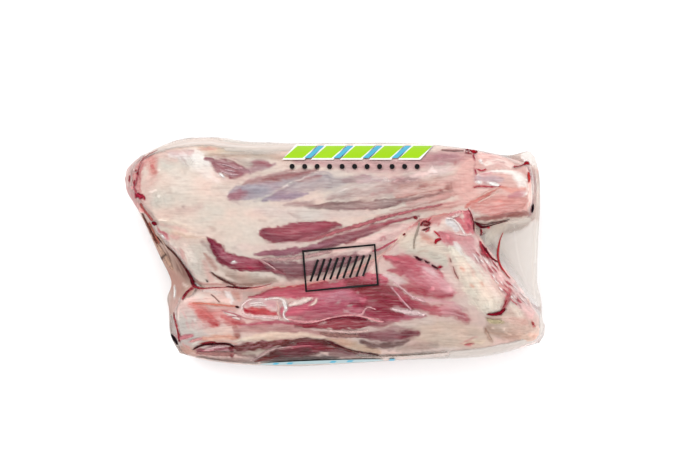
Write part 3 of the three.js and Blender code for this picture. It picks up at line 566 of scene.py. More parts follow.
    Band("glint a", FAT_AND_GLINT_WHITE, [(480.6, 159.4, 1.6), (481.2, 162.2, 1.8)], 1),
    Band("glint b", FAT_AND_GLINT_WHITE, [(476.8, 181.4, 1.2), (481.2, 182.7, 1.6)], 1),
    Band("glint c", FAT_AND_GLINT_WHITE, [(488.6, 182.6, 1.1), (494, 184.2, 1.7), (499.8, 185.3, 1)], 1),
    Band("end red", (200, 60, 58), [(528.4, 172, 0.8), (529, 177.6, 1.2), (529, 182.4, 0.7)], 0.9),
]

FRONT_PAINT = [
    # wrist
    Band("wrist pale", (218, 202, 196), [(176, 318, 12), (190, 325, 20), (206, 332, 18)], 0.92, 0.4, 0.2),
    Band("wrist cool", (211, 204, 196), [(182, 318, 5), (190, 328, 8), (197, 336, 5)], 0.6, 1),
    *strands("wrist blush", (228, 176, 174), [(178, 308), (184, 320), (190, 334)], [(204, 324), (208, 330), (214, 336)],
             9, 0.8, 31, 0.5, (0.2, 0.6)),
    # wrist top, wrist cream and wrist face light: the wrist's creamy white, painted lighter still against the shade in
    # the valley beside the back shank's elbow (the face light's red is past 255 for this); fold light a and b: painted
    # highlights of the film's glossy folds
    Band("wrist top", (255, 228, 220), [(184, 296, 5), (200, 295.6, 6), (218, 297, 6)], 0.96, 0.7),
    Band("wrist cream", (255, 238, 228), [(196, 295, 2.5), (206, 297.6, 4), (217, 299.4, 4)], 0.92, 0.8),
    Band("fold light a", (253, 246, 240), [(208, 290.6, 1.2), (214, 292, 2.6), (219.4, 292, 2)], 0.85, 0.5, 0.6),
    Band("fold light b", (255, 252, 249), [(226.4, 291.8, 1.6), (229, 295.6, 3.2), (230.4, 299.6, 2.8), (231.4, 302.6, 1.2)], 0.97, 0.25, 0.5),
    Band("wrist face light", (272, 238, 228), [(205, 299, 2.2), (216, 300.4, 3.4), (228, 300.6, 2.8)], 0.85, 0.8, 0.6),
    Band("fold thread", (140, 92, 86), [(210.8, 294.2, 0.35), (215, 297.4, 0.5), (219.6, 302.6, 0.35)], 0.85),
    Band("fold peach", (232, 178, 164), [(232, 290, 1.5), (236, 294, 3), (239, 299, 2.4)], 0.8, 0.8, 0.6),
    Band("fold seam", (246, 214, 208), [(241, 289, 0.8), (241.6, 294, 1.3), (240.6, 300, 0.8)], 0.75, 0.7, 0.5),
    Band("salmon top", (222, 144, 136), [(190, 304.6, 2), (197, 306.4, 4), (205, 309.4, 4), (210, 314, 3)], 0.85, 0.9, 0.9),
    Band("wrist red line", (222, 134, 116), [(192, 303.2, 0.7), (204, 303.6, 0.8), (216, 304.6, 0.9), (228, 305.6, 0.7), (236, 306.2, 0.5)], 0.85, 0.6, 0.6),
    Band("line light", (246, 216, 198), [(204, 302.4, 0.5), (218, 303.3, 0.8), (230, 303.8, 0.7)], 0.75),
    Band("orange veil", (214, 140, 136), [(200, 315, 4), (214, 313.6, 5), (231, 312, 4)], 0.7, 0.9, 0.8),
    Band("salmon mid", (204, 96, 94), [(199, 312, 3), (205, 316.4, 5), (212, 320.6, 5.6), (217, 324, 3)], 0.8, 1, 1),
    Band("salmon parting", (234, 200, 194), [(219.2, 317.6, 0.8), (222, 322.5, 1.1), (225.4, 326.4, 0.8)], 0.4, 0.6, 0.5),
    Band("salmon right", (198, 92, 94), [(222, 316.6, 2), (229, 319.6, 3.8), (236, 322, 3.8), (243, 325, 1.8)], 0.8, 1, 1),
    Band("salmon heart", (186, 66, 72), [(209, 321.4, 1.4), (213, 323, 2.6), (216.6, 325, 1.4)], 0.75, 0.9, 1.0),
    Band("salmon deep", (178, 70, 78), [(233, 322, 1), (238, 323.6, 1.9), (244, 325.4, 0.9)], 0.75, 0.9, 1.0),
    *strands("salmon veins", (166, 54, 66), [(204, 316), (214, 318), (238, 320)], [(208, 325), (218, 326), (242, 326)],
             6, 0.5, 32, 0.6, (0.1, 0.3)),
    *strands("wrist fibres", (240, 217, 211), [(220, 309), (232, 311), (246, 316)], [(224, 316), (236, 319), (247, 323)], 9, 0.6, 33, 0.85),
    *strands("wrist fibre shades", (192, 116, 124), [(220, 310), (232, 313), (246, 318)], [(226, 317), (238, 320), (248, 324)], 9, 0.45, 34, 0.85),
    Band("corner fold", (214, 138, 145), [(178.5, 338.6, 1.3), (186, 337, 1.8), (193, 335.4, 1)], 0.88, 0.6, 0.6, 0.3),
    Band("corner fold two", (223, 160, 158), [(190, 341.8, 1), (196, 339.7, 1.3), (202, 338.3, 1)], 0.85),
    Band("corner light", (246, 236, 224), [(193, 343.8, 1), (195.4, 342.6, 1.3), (197.6, 341.6, 0.8)], 0.75, 0.6),
    Band("corner peach", (206, 162, 146), [(182, 348.6, 3), (190, 350.4, 3.4), (198, 352, 2)], 0.85, 0.8, 0.6),
    Band("corner pink", (230, 150, 142), [(183, 343.6, 1), (188, 347, 1.3)], 0.6, 0.8),
    Band("wrist cream low", (235, 210, 199), [(206, 331, 2.4), (220, 330, 2.7), (237, 327.6, 2)], 0.8, 0.8, 0.6),
    Band("wrist orange", (224, 162, 140), [(203, 338.8, 1.6), (216, 337.8, 2.5), (228, 337, 2.5), (237, 338, 1.4)],
         0.82, 0.8, 0.8),
    *strands("orange lights", (240, 206, 186), [(206, 334), (220, 333), (238, 333)], [(204, 341), (220, 341), (238, 340)],
             5, 0.6, 35, 0.6),
    Band("brown square", (160, 88, 78), [(236, 327.6, 2.5), (237.4, 336, 3.2)], 0.8, 0.6, 0.6),
    Band("wrist edge", (148, 38, 52), [(173.8, 312, 0.5), (174.8, 319, 0.8), (177, 328, 0.8), (178.6, 337, 0.8), (179.2, 342, 0.6)], 0.93, 0.5, 0.9, -0.2),
    Band("wrist dusk", (196, 150, 150), [(170.8, 314, 1.6), (171.8, 330, 2.2)], 0.75, 0.7),
    # slit along the front edge
    Band("slit floor", (152, 72, 88), [(197, 350.4, 1.2), (208, 349.2, 2.6), (220, 348.4, 3), (232, 349, 2)], 0.93, 0.5, 0.6, 0.8),
    Band("slit floor light", (224, 188, 188), [(205, 349, 0.5), (216, 347.3, 0.8), (225, 346.8, 0.5)], 0.85),
    Band("slit floor light two", (216, 172, 178), [(221, 351, 0.7), (229, 349.3, 1.1)], 0.75),
    Band("slit edge", (222, 138, 118), [(200, 343.4, 0.5), (214, 342.4, 0.8), (228, 342.2, 0.8), (236.6, 344.6, 0.6)], 0.6),
    Band("slit", (64, 6, 16), [(193, 349.6, 0.5), (198, 347, 0.7), (204, 344.8, 0.9), (212, 344, 1), (222, 343.8, 1), (229, 344.6, 0.8), (234.6, 347, 0.5)], 1, 0.35, 0.5, -1.2),
    Band("slit upper red", (140, 34, 46), [(201, 343.8, 0.5), (208, 342.4, 0.8), (216, 342, 0.5)], 0.85, 0.5, 0.8),
    Band("under slit", (178, 128, 124), [(196, 353, 1), (210, 353.4, 1.9), (226, 354, 2), (235, 353.6, 1.4)], 0.85, 0.7, 0.6),
    Band("brown bar", (144, 72, 76), [(231, 351.6, 1.7), (232.2, 357.4, 1.9)], 0.8, 0.6),
    Band("below slit", (146, 122, 116), [(198, 357, 1.4), (215, 359.4, 2), (238, 361, 2.4), (256, 361.6, 2)], 0.88, 0.8),
    Band("left lens dusk", (132, 94, 90), [(234, 353, 1.5), (246, 354.5, 3), (256, 357, 2), (264, 360.4, 1)], 0.8, 0.8, 0.7),
    Band("lens grey", (190, 172, 158), [(243, 354, 1), (254, 352.4, 2.4), (266, 349.6, 1.8)], 0.8, 0.8, 0.6),
    Band("under lens dusk", (62, 40, 44), [(262, 361, 1.4), (280, 359.6, 2.8), (300, 359, 3.2), (322, 358, 3), (338, 357, 1.8)], 0.9, 0.6, 0.8),
    # window of red flesh
    Band("window halo", (236, 212, 207), [(246, 309, 8.6), (259, 308, 10.2), (275, 309, 10)], 0.94, 0.18, 0.3),
    Band("window pink", (224, 174, 178), [(249, 303.5, 3), (262, 302.5, 4), (274, 304, 4)], 0.85, 0.6, 0.9),
    *strands("window streaks", (243, 225, 221), [(246, 300.4), (262, 298.6), (277, 300)], [(248, 306), (264, 306), (279, 308)],
             6, 0.7, 36, 0.75),
    Band("window red", (204, 80, 88), [(245, 309.6, 1.6), (251, 310.2, 3), (261, 311.4, 3.4), (270, 312.8, 3), (276.6, 314, 1.6)], 0.97, 0.6, 0.8, -0.8),
    Band("window core", (216, 104, 98), [(251, 308.6, 1.8), (264, 310, 2.3)], 0.5, 0.9, 0.9),
    Band("window deep", (180, 44, 62), [(243.5, 308.6, 1.6), (247, 311.2, 2.5), (255, 313.8, 1.3), (266, 315, 0.9)], 0.85, 0.7),
    Band("window low line", (238, 206, 204), [(242.4, 310, 0.5), (245, 314.2, 0.8), (254, 316.6, 0.8), (266, 317.6, 0.7), (279, 318.6, 0.6)], 0.85, 0.4, 0.9, 0.4),
    Band("window thread", (178, 96, 104), [(246, 319.5, 0.6), (262, 320.6, 0.7), (280, 321.2, 0.6)], 0.75),
    Band("window left line", (244, 220, 216), [(252, 299, 0.4), (245.6, 301.6, 0.7), (242.4, 305.6, 0.8), (242, 310, 0.7)], 0.9, 0.4, 0.8, 0.4),
    Band("dark dot", (66, 8, 18), [(235, 306.2, 0.6), (237.4, 307, 1.1), (239, 307.4, 0.6)], 1, 0.4),
    # upper bellies
    Band("join strip", (234, 196, 190), [(204, 289.6, 1), (240, 290.6, 1.6), (262, 289, 2.6), (285, 286.4, 3), (306, 283, 3.2), (330, 277.6, 3.6), (352, 270, 4.2), (374, 260, 4.8)], 0.92, 0.5, 0.5),
    *[Band(f"join rib {k}", (240, 214, 210), [(262 + 3 * k, 285.6 - 0.12 * k, 0.4), (262.6 + 3 * k, 288.8 - 0.2 * k, 0.5)], 0.7)
      for k in range(15)],
    Band("upper belly", (206, 98, 118), [(249, 297.6, 0.8), (262, 295.4, 2.6), (276, 293.2, 4.6), (292, 291.8, 6.2), (312, 291, 7.2), (335, 289, 8.6), (355, 285.6, 9.4), (370, 281.6, 8), (384, 280, 4.8)], 0.96, 0.3, 0.8, 1.2),
    Band("upper belly pink", (200, 112, 122), [(262, 292, 0.7), (280, 289.5, 0.9), (300, 287.4, 0.9), (322, 286.3, 0.8)], 0.65),
    *strands("upper belly fibres", (222, 136, 150), [(262, 294), (300, 288), (344, 283)], [(280, 297), (310, 297), (350, 292)], 10, 0.55, 37, 0.5),
    *strands("upper belly dark", (168, 60, 86), [(266, 294), (304, 289), (348, 285)], [(284, 297), (314, 297), (360, 292)], 8, 0.6, 38, 0.45),
    Band("main belly", (198, 104, 122), [(283, 312, 5), (300, 310.5, 8.5), (320, 308, 12), (345, 304, 15), (365, 300.6, 15.4), (386, 298, 12.4), (403, 300, 5)], 0.96, 0.4, 0.8, 1.5),
    Band("main belly light", (196, 122, 137), [(308, 300.5, 3), (326, 297.6, 4.6), (342, 298, 4), (352, 300, 2)], 0.65, 0.95, 1.0),
    *strands("main belly mauve", (196, 136, 150), [(316, 296), (340, 292), (362, 292)], [(320, 304), (344, 302), (370, 304)], 8, 0.7, 39, 0.55),
    Band("main belly red", (212, 104, 124), [(289, 312.6, 2), (300, 309.6, 3.4), (312, 305.8, 3.6), (323, 302.6, 2)], 0.8, 0.7, 1.0),
    Band("main belly low", (178, 98, 110), [(300, 317, 3), (325, 314, 4.6), (350, 311.6, 4)], 0.7, 0.9, 1.0),
    *strands("main belly rough", (206, 150, 152), [(296, 313), (324, 309), (354, 306)], [(300, 321), (328, 318), (356, 313)],
             14, 0.5, 40, 0.5, (0.1, 0.3)),
    *strands("main belly fibres", (202, 114, 132), [(300, 300), (336, 294), (376, 290)], [(290, 318), (330, 314), (368, 308)], 18, 0.5, 41, 0.45),
    *strands("main belly shades", (156, 60, 84), [(300, 302), (338, 298), (380, 292)], [(292, 317), (332, 312), (376, 310)],
             14, 0.6, 42, 0.4),
    Band("deep red", (136, 30, 54), [(350, 284, 5), (366, 288, 8.4), (382, 292.5, 10), (397, 298, 8.4), (412, 305.6, 4.6)], 0.92, 0.6, 0.9),
    Band("deep core", (122, 16, 38), [(358, 286, 3), (372, 292, 5), (382, 300, 5.6), (392, 305, 3.6)], 0.85, 0.9, 1.0),
    Band("wine", (140, 40, 66), [(384, 300, 2), (396, 304.6, 3), (410, 309, 2)], 0.65, 0.8, 0.9),
    *strands("deep red fibres", (174, 66, 88), [(354, 280), (378, 284), (406, 298)], [(358, 296), (382, 304), (408, 309)], 14, 0.5, 43, 0.5),
    Band("rib", (242, 219, 211), [(288.6, 305.8, 1), (296, 303.4, 2.1), (304, 300.6, 2.1), (311.4, 298.3, 1.3)], 0.92, 0.5, 0.6, 0.7),
    Band("rib tip", (238, 204, 195), [(310.6, 305.4, 0.8), (315, 302.7, 1.4), (317, 298.8, 1)], 0.88, 0.5, 0.5),
    Band("belly rim", (228, 160, 164), [(287, 318.6, 0.8), (298, 321.4, 0.9), (312, 322, 0.9), (328, 318.6, 0.7), (345, 315.5, 0.7), (358, 315.6, 0.8), (368, 318, 0.8), (378, 321.2, 0.9), (384, 321.6, 0.6)], 0.92, 0.5, 0.9, 0.5),
    Band("hook thread", (226, 168, 172), [(357, 315.2, 0.5), (362, 314, 0.7), (364.8, 310, 0.6), (367, 307.6, 0.7), (371, 307.6, 0.6), (376, 309.6, 0.5)], 0.82, 0.5, 0.9),
    Band("hook thread two", (226, 176, 184), [(344, 310, 0.5), (349, 312.3, 0.8), (355, 314.4, 0.6)], 0.6),
    Band("left mauve band", (180, 84, 103),
         [(239, 325.2, 0.8), (248, 325.3, 1.7), (258, 324, 2.3), (272, 322.5, 2.3), (286, 322.8, 2.3), (300, 324.8, 2.5), (316, 325.6, 2)],
         0.92, 0.5, 0.8, 0.4),
    Band("left band light", (206, 150, 156), [(240, 327.4, 0.6), (258, 326.9, 0.8), (278, 325.6, 0.8), (296, 328, 0.6)], 0.6, 0.7, 0.6),
    Band("low red lens", (144, 48, 62), [(295, 325.8, 1), (312, 325, 2.8), (328, 323.2, 5.4), (345, 323, 7), (358, 323.2, 5.8), (369, 323.8, 2.8), (378, 324, 1)], 0.96, 0.2, 0.8, 1.2),
    Band("lens upper edge", (118, 32, 50), [(326, 320, 0.5), (340, 317.6, 0.8), (356, 317.8, 0.8), (367, 320.4, 0.6)], 0.8, 0.5, 0.8),
    *strands("lens fibres", (186, 100, 108), [(310, 322), (340, 318), (366, 321)], [(314, 327), (342, 328), (366, 327)],
             10, 0.45, 44, 0.5),
    Band("grey pink band", (194, 152, 148), [(236, 330.4, 2.4), (256, 328.6, 3.6), (280, 329, 4), (300, 330.8, 3.4), (322, 333.6, 2.6), (346, 334.6, 2)], 0.92, 0.6, 0.6),
    *strands("grey pink lines", (176, 136, 134), [(240, 328), (280, 326), (320, 331)], [(240, 333), (280, 333), (320, 336)],
             8, 0.5, 45, 0.5),
    Band("brown band", (158, 116, 110), [(320, 333, 1), (330, 334.8, 1.7), (344, 335.6, 1.8), (360, 336, 1.6)], 0.85, 0.6, 0.8),
    Band("band thread", (222, 186, 180), [(326, 330.6, 0.8), (340, 331.6, 1.1), (356, 332, 1.1), (368, 330.4, 0.7)], 0.85, 0.6, 0.8),
    Band("cream right", (206, 174, 152), [(330, 339.4, 1.8), (342, 342.4, 3.4), (354, 346, 4.2), (366, 349.4, 4), (378, 352.6, 3)], 0.93, 0.5, 0.4),
    Band("long cream", (232, 214, 196), [(235, 341.8, 1), (246, 339.2, 2.4), (258, 337.2, 3.7), (275, 336, 4.2), (292, 335.4, 3.4), (308, 335.2, 2.7), (322, 338.2, 2.1), (334, 343, 1.9), (345, 347.6, 1.7), (357, 351.2, 1.2)], 0.96, 0.3, 0.25, 1.0),
    Band("mauve streak", (112, 32, 46), [(231, 347.8, 1.6), (240, 347.8, 3.4), (250, 346.6, 4.2), (260, 345.4, 4.5), (272, 343.8, 3.7), (284, 342, 2.2), (293, 341, 1)], 0.95, 0.35, 0.6, 0.6),
    *strands("mauve streak flecks", (216, 160, 168), [(238, 345), (258, 341), (284, 340)], [(240, 351), (260, 349), (284, 344)], 12, 0.4, 46, 0.6, (0.05, 0.15)),
    Band("maroon lens", (94, 6, 28), [(255, 360.4, 0.8), (264, 358.2, 2.4), (276, 353.8, 5), (288, 349.8, 7.7), (300, 347.6, 8.8), (314, 345.8, 8.2), (326, 345.2, 5.8), (336, 346.2, 3.5), (346, 349, 2.1), (359, 352.6, 0.8)], 0.98, 0.15, 0.4, 1.0),
    Band("maroon deep", (80, 18, 32), [(266, 358.6, 1.4), (280, 355.8, 2.7), (296, 352.8, 3.1), (311, 351.6, 2.4)], 0.7, 0.7, 0.9),
    Band("maroon bright", (130, 30, 56), [(291, 345, 1.4), (306, 342.6, 2.1), (321, 343.6, 2.1)], 0.65, 0.9, 1.0),
    *strands("maroon fibres", (158, 66, 88), [(270, 354), (300, 342), (334, 344)], [(272, 358), (302, 355), (332, 349)], 12, 0.45, 47, 0.35),
    Band("maroon glint", (204, 116, 128), [(283, 347.4, 0.3), (294, 346.4, 0.5), (304, 345.6, 0.5), (312, 345.4, 0.3)], 0.85),
    Band("white thread", (206, 170, 168), [(251.6, 360.4, 0.4), (258, 357, 0.6), (264, 353, 0.6), (272, 349.6, 0.6), (282, 347.4, 0.5), (293, 346.4, 0.4)], 0.82, 0.5, 0.8, 0.5),
    # under grey and under mauve: painted shadow below the maroon lens
    Band("under grey", (150, 116, 112), [(330, 354, 2), (345, 354.4, 2.8), (360, 355.2, 2.4), (376, 356, 1.4)], 0.9, 0.6, 0.6),
    Band("under mauve", (120, 64, 70), [(322, 349.6, 1.4), (334, 350.4, 2.4), (346, 352.6, 1.8), (358, 354, 0.8)], 0.85, 0.7, 0.6),
    Band("lens rim dark", (84, 30, 40), [(326, 340.6, 0.4), (336, 344.6, 0.7), (346, 348.8, 0.7), (356, 351.4, 0.6), (370, 353.6, 0.5), (379, 355.2, 0.4)], 0.85, 0.6, 0.6),
    # right half
    Band("right cream", (216, 195, 180), [(398, 334, 4), (430, 332, 11), (450, 334, 13), (470, 337, 12), (486, 339, 8)],
         0.93, 0.4, 0.2),
    Band("right cream warm", (224, 199, 184), [(425, 327, 3), (445, 329, 5), (463, 334, 5)], 0.6, 1),
    *strands("right cream lines", (204, 178, 162), [(400, 342), (440, 338), (480, 340)], [(410, 350), (446, 348), (480, 346)],
             7, 0.8, 48, 0.4),
    Band("mid belly", (164, 66, 86), [(368, 312, 4), (380, 315.6, 5.8), (394, 317.4, 4.6), (410, 317.6, 2.8), (425, 317, 1)], 0.92, 0.45, 0.8),
    Band("mid belly mauve", (180, 116, 127), [(400, 317, 2.4), (412, 316.6, 2.8), (424, 317, 1.4)], 0.7, 0.8, 0.9),
    *strands("mid belly fibres", (200, 110, 126), [(366, 310), (388, 312), (414, 316)], [(370, 319), (390, 321), (414, 319)],
             8, 0.45, 49, 0.5),
    Band("deep low", (142, 40, 62), [(352, 304, 2.4), (366, 306, 4.6), (380, 310, 5.6), (392, 312.6, 4.6), (402, 314.6, 2.6)], 0.8, 0.8, 0.9),
    Band("cream streak", (220, 198, 188), [(377, 326.4, 0.6), (386, 326.4, 1.5), (398, 325.4, 2.8), (412, 323.4, 4), (432, 320.6, 4)], 0.93, 0.5, 0.5, 0.5),
    Band("under rim", (158, 92, 100), [(366, 323, 1.4), (380, 324.6, 2.6), (393, 322.4, 1.8)], 0.85, 0.8, 0.8),
    Band("right mauve lens", (134, 76, 84), [(352, 335.4, 1.4), (366, 335.4, 3.4), (380, 335.8, 5.4), (394, 335, 6.6), (404, 334, 5.6), (417, 333.6, 3.4)], 0.95, 0.65, 0.6, 0.8),
    Band("lens brown", (108, 72, 70), [(360, 341.4, 1.4), (372, 345.4, 3), (386, 346.4, 3.4), (398, 344, 2.6), (408, 340.6, 1.6)], 0.88, 0.7, 0.9),
    Band("lens tip", (116, 56, 66), [(402, 337, 0.8), (407, 335, 1.5), (411.4, 332.4, 1.1)], 0.75, 0.8, 0.9),
    *strands("lens lights", (192, 146, 150), [(368, 330), (386, 328), (408, 328)], [(370, 337), (388, 338), (406, 335)], 8, 0.5, 50, 0.3),
    # painted shadow below the mauve lens
    Band("peach streak", (176, 154, 144), [(398, 349.4, 2.6), (408, 348.6, 4), (420, 346.4, 4), (436, 346, 3)], 0.85, 0.8),
    # round belly
    Band("round belly", (208, 126, 136), [(384.6, 258.4, 1.4), (392, 259.8, 3.6), (402, 262.6, 7.6), (412, 268.4, 11.6), (422, 275.6, 13.6), (433, 282.4, 12.8), (443, 288, 10), (449.6, 291, 7)], 0.98, 0.3, 0.45, 3.0),
    Band("round belly prong", (194, 100, 113), [(387.4, 270.4, 0.8), (393, 270.3, 2.2), (401, 272, 3.6)], 0.9, 0.4, 0.5),
    Band("round belly red", (192, 92, 106), [(386, 258.8, 1.4), (394, 260, 3), (404, 262, 5.6), (414, 267, 6.8), (425, 275, 6)], 0.78, 0.85, 1.0),
    Band("round belly light", (234, 180, 184), [(426, 272, 4), (438, 279.6, 7.4), (449, 288, 5)], 0.85, 0.9, 1.0),
    *strands("round belly lights", (226, 168, 176), [(414, 260), (434, 270), (454, 286)], [(398, 272), (420, 286), (446, 298)], 12, 0.6, 51, 0.35),
    *strands("round belly shades", (192, 104, 118), [(410, 262), (430, 272), (450, 288)], [(398, 270), (418, 288), (444, 298)], 12, 0.6, 52, 0.35),
    Band("round belly low", (176, 82, 96), [(408, 289, 2), (424, 294.8, 2.6), (440, 296.6, 2.4), (452, 295.4, 1.5)], 0.8, 0.9, 0.9),
    Band("round belly low left", (174, 70, 86), [(402, 285.6, 2.4), (412, 288.6, 4.4), (424, 291, 4)], 0.8, 0.9, 0.9),
    Band("gap pale left", (232, 208, 206), [(384, 274.6, 1.6), (394, 278, 2.8), (402, 282, 2.4)], 0.85, 0.7, 0.8),
    Band("white parting", (230, 188, 192), [(393, 281.6, 0.3), (399, 286, 0.5), (405, 290.8, 0.6), (412, 296.4, 0.8), (418, 298.9, 0.9), (426, 302, 0.6)], 0.85, 0.5, 0.9, 0.4),
    Band("parting right", (226, 178, 184), [(418, 298.8, 1.4), (430, 300.4, 1.6), (442, 301, 1.4), (455, 303, 1)], 0.75, 0.6, 0.8),
    Band("pale diagonal", (226, 172, 180), [(391.4, 287.2, 0.4), (398, 294.8, 0.5), (404, 302, 0.6), (411.4, 309.8, 0.5)], 0.88, 0.5, 0.4, 0.3),
    Band("lower belly", (176, 78, 94), [(396, 290, 2), (408, 300, 4), (422, 307.4, 5), (438, 310, 5.4), (452, 312, 5.4), (462, 316, 4), (467, 320.4, 2)], 0.88, 0.5, 0.9, 0.6),
    Band("lower belly dusk", (174, 110, 114), [(452, 309, 3), (462, 314.6, 5), (468, 321, 3.4)], 0.8, 0.8, 1.0),
    *strands("lower belly lights", (226, 180, 184), [(432, 304), (448, 302), (464, 306)], [(436, 316), (454, 316), (468, 322)],
             12, 0.6, 53, 0.6),
    Band("white knot", (230, 202, 202), [(391.6, 308.6, 0.8), (400, 310.8, 1.5), (408, 312.2, 1.9), (416, 312.8, 1.7), (425, 315, 1)],
         0.88, 0.6, 1.0),
    *strands("knot rays", (236, 208, 208), [(392, 306), (402, 308), (412, 308)], [(396, 312), (408, 315), (420, 317)],
             7, 0.5, 54, 0.7),
    # elbow, upper part
    Band("upper cream", (227, 211, 196), [(396, 240, 5), (414, 243, 10), (430, 248, 10), (446, 256, 9)], 0.96, 0.45, 0.2),
    Band("belly margin", (236, 212, 204), [(438, 268, 2.5), (448, 276, 4), (456, 285, 4), (460, 293, 3)], 0.85, 0.8, 0.5),
    Band("grey veil", (210, 202, 189), [(410, 250, 4), (430, 254, 5), (446, 262, 4)], 0.8, 0.8, 0.5),
    Band("left hollow", (228, 200, 194), [(372, 258, 3), (384, 251, 3.6), (396, 246, 3)], 0.85, 0.7, 0.6),
    Band("upper pink", (204, 134, 136), [(405, 228, 2), (418, 222.6, 3.4), (432, 223, 4), (447, 219.6, 3.4)], 0.82, 0.8, 0.9),
    Band("cream hollow", (240, 220, 210), [(426, 233, 3), (436, 229, 4.4), (444, 222, 3.6)], 0.85, 0.8, 0.6),
    *strands("upper veins", (192, 70, 84), [(410, 224), (416, 220), (424, 216)], [(424, 236), (432, 230), (442, 220)],
             9, 0.5, 55, 0.75, (0.15, 0.4)),
    Band("grey wrinkle", (170, 154, 140), [(419.6, 222, 0.5), (417, 231, 0.8), (414.2, 240, 0.8), (413.8, 249, 0.5)], 0.8, 0.6, 0.4, -0.5),
    Band("orange spots", (222, 168, 148), [(423, 238, 2.4), (429, 239.4, 2.6)], 0.55, 0.9, 1.0),
    Band("clot c", CLOT, [(413, 218.2, 1.2), (415.6, 217.8, 1.6), (418, 219, 1)], 1, 0.4, 0.6),
    Band("clot ring", (112, 26, 38), [(420.6, 226, 0.5), (422.8, 222, 0.8), (427, 221.6, 0.8), (430.6, 223.6, 0.6)], 0.95, 0.4, 0.6),
    Band("clot ring low", (128, 40, 48), [(423.4, 224.6, 0.7), (427.6, 225, 0.8), (430, 223.6, 0.6)], 0.85),
    Band("clot d", (106, 26, 36), [(421.6, 230.4, 0.5), (426, 229, 0.8), (430, 227.4, 0.5)], 0.9, 0.4),
    Band("vein b", (190, 60, 74), [(433.6, 231, 0.6), (437, 233.6, 0.8), (440, 237, 0.8)], 0.88),
    Band("clot e", (164, 28, 46), [(435.4, 244, 0.8), (436.6, 240.4, 1.4), (441.4, 239, 1)], 0.97, 0.4),
    Band("brown fold", (186, 150, 132), [(418, 253, 0.6), (423, 251, 0.8), (428, 250.4, 0.6)], 0.6),
    Band("pink corner", (222, 156, 158), [(449, 215.4, 2), (456, 213.4, 2), (462, 211, 1.6)], 0.8, 0.7, 0.6),
    Band("upper blush right", (204, 138, 134), [(434, 218, 2.4), (441, 215.5, 3.6), (448, 212.5, 2.4)], 0.7, 0.9, 0.9),
    Band("hollow blush", (204, 148, 138), [(422, 234, 2), (428, 240, 4), (434, 243, 2.6)], 0.65, 0.9, 1.0),
    Band("white corner", (238, 212, 206), [(451, 217.4, 1), (456, 215.6, 1.8), (460, 214, 1)], 0.9),
    Band("flank pink", (218, 160, 162), [(440, 233, 2), (448, 236.6, 5), (456, 238.4, 6), (466, 240.4, 8), (474, 248, 8), (482, 259, 6)], 0.94, 0.4, 0.8),
    Band("pink sliver", (210, 124, 131), [(450, 214.5, 1.4), (457, 218.6, 2.8), (463, 225.6, 3.4), (467.6, 231.4, 2.6)], 0.94, 0.4, 0.8),
    Band("pale patch", (223, 217, 216), [(448.6, 221.6, 3.4), (453, 225, 4), (456.6, 228.4, 3.2)], 0.95, 0.3, 0.4, 0.6),
    Band("patch rim", (249, 235, 231), [(446, 218.5, 0.5), (454, 219.8, 0.6), (460, 226.6, 0.8), (465, 235, 0.7)], 0.9, 0.5, 0.7),
    Band("flank muscle", (206, 128, 136), [(440.2, 234, 2), (446, 238.4, 5), (451, 243.6, 4.4), (455.6, 249, 2)], 0.93, 0.4, 0.8, 0.6),
    Band("flank right", (222, 172, 172), [(464, 243, 3), (470, 250, 5.4), (477, 260, 4.6)], 0.85, 0.6, 0.9),
    Band("flank rim", (242, 208, 204), [(455, 233.6, 0.8), (464, 235, 1), (472.6, 234.4, 0.8)], 0.85),
    Band("wedge", (212, 122, 132), [(466.8, 208, 1.3), (467.8, 214, 4), (469.4, 222, 5), (470.6, 230, 3.8)], 0.97, 0.15, 0.8, 0.5),
    *strands("wedge veins", (160, 50, 74), [(465, 212), (466, 220), (467, 230)], [(470, 212), (472, 220), (474, 230)],
             5, 0.5, 56, 0.6),
    Band("wedge edge", (120, 30, 46), [(467.6, 208, 0.4), (471, 214.6, 0.5), (473.4, 222, 0.5), (474, 231, 0.4)], 0.92, 0.5, 0.9),
    # slanted end face
    Band("end face", (242, 204, 200), [(477, 243, 4), (486, 257, 7), (496, 271, 8.4), (508, 286, 8), (520, 300, 7), (530, 313, 5)], 0.95, 0.4, 0.8),
    *strands("end lights", (250, 232, 228), [(480, 242), (493, 260), (508, 279), (522, 293), (534, 306)], [(470, 250), (481, 266), (494, 284), (508, 296), (522, 310)], 30, 0.6, 57, 0.9, (0.05, 0.16), 0.5),
    *strands("end reds", (196, 106, 114), [(480, 244), (493, 262), (508, 281), (522, 295), (534, 308)], [(472, 252), (483, 268), (496, 286), (508, 298), (520, 310)], 26, 0.45, 58, 0.9, (0.05, 0.16)),
    *strands("end dusk", (164, 116, 120), [(481, 246), (494, 264), (509, 282), (523, 296), (534, 308)], [(474, 254), (485, 270), (498, 288), (510, 300), (522, 312)], 12, 0.45, 59, 0.6, (0.05, 0.16)),
    Band("end salmon", (228, 164, 160), [(500, 284, 2), (506, 289, 2.6), (514, 296, 2)], 0.5, 0.8, 1.0),
    Band("ridge", (240, 226, 211), [(452, 249, 4), (456, 256, 7), (462, 265, 9.5), (468.6, 275, 11), (476.6, 286, 13), (484, 295, 14), (488, 302, 12), (489, 307, 6)], 1, 0.16, 0.7, 2.5),
    Band("ridge cool", (232, 220, 206), [(452, 258, 3), (459, 272, 4.4), (467, 285, 6), (476, 298, 6)], 0.4, 0.95, 0.5),
    Band("ridge light", (249, 239, 229), [(465, 255, 2.4), (476, 268, 3), (487, 281, 3.6), (497, 296, 3.4)], 0.75, 0.9, 0.6),
    Band("tooth", (247, 238, 233), [(456, 243.4, 2.6), (457.6, 246.4, 2.8), (459.2, 250, 1.8), (461.8, 254.6, 1.3)], 0.82, 0.4, 0.5, 0.5),
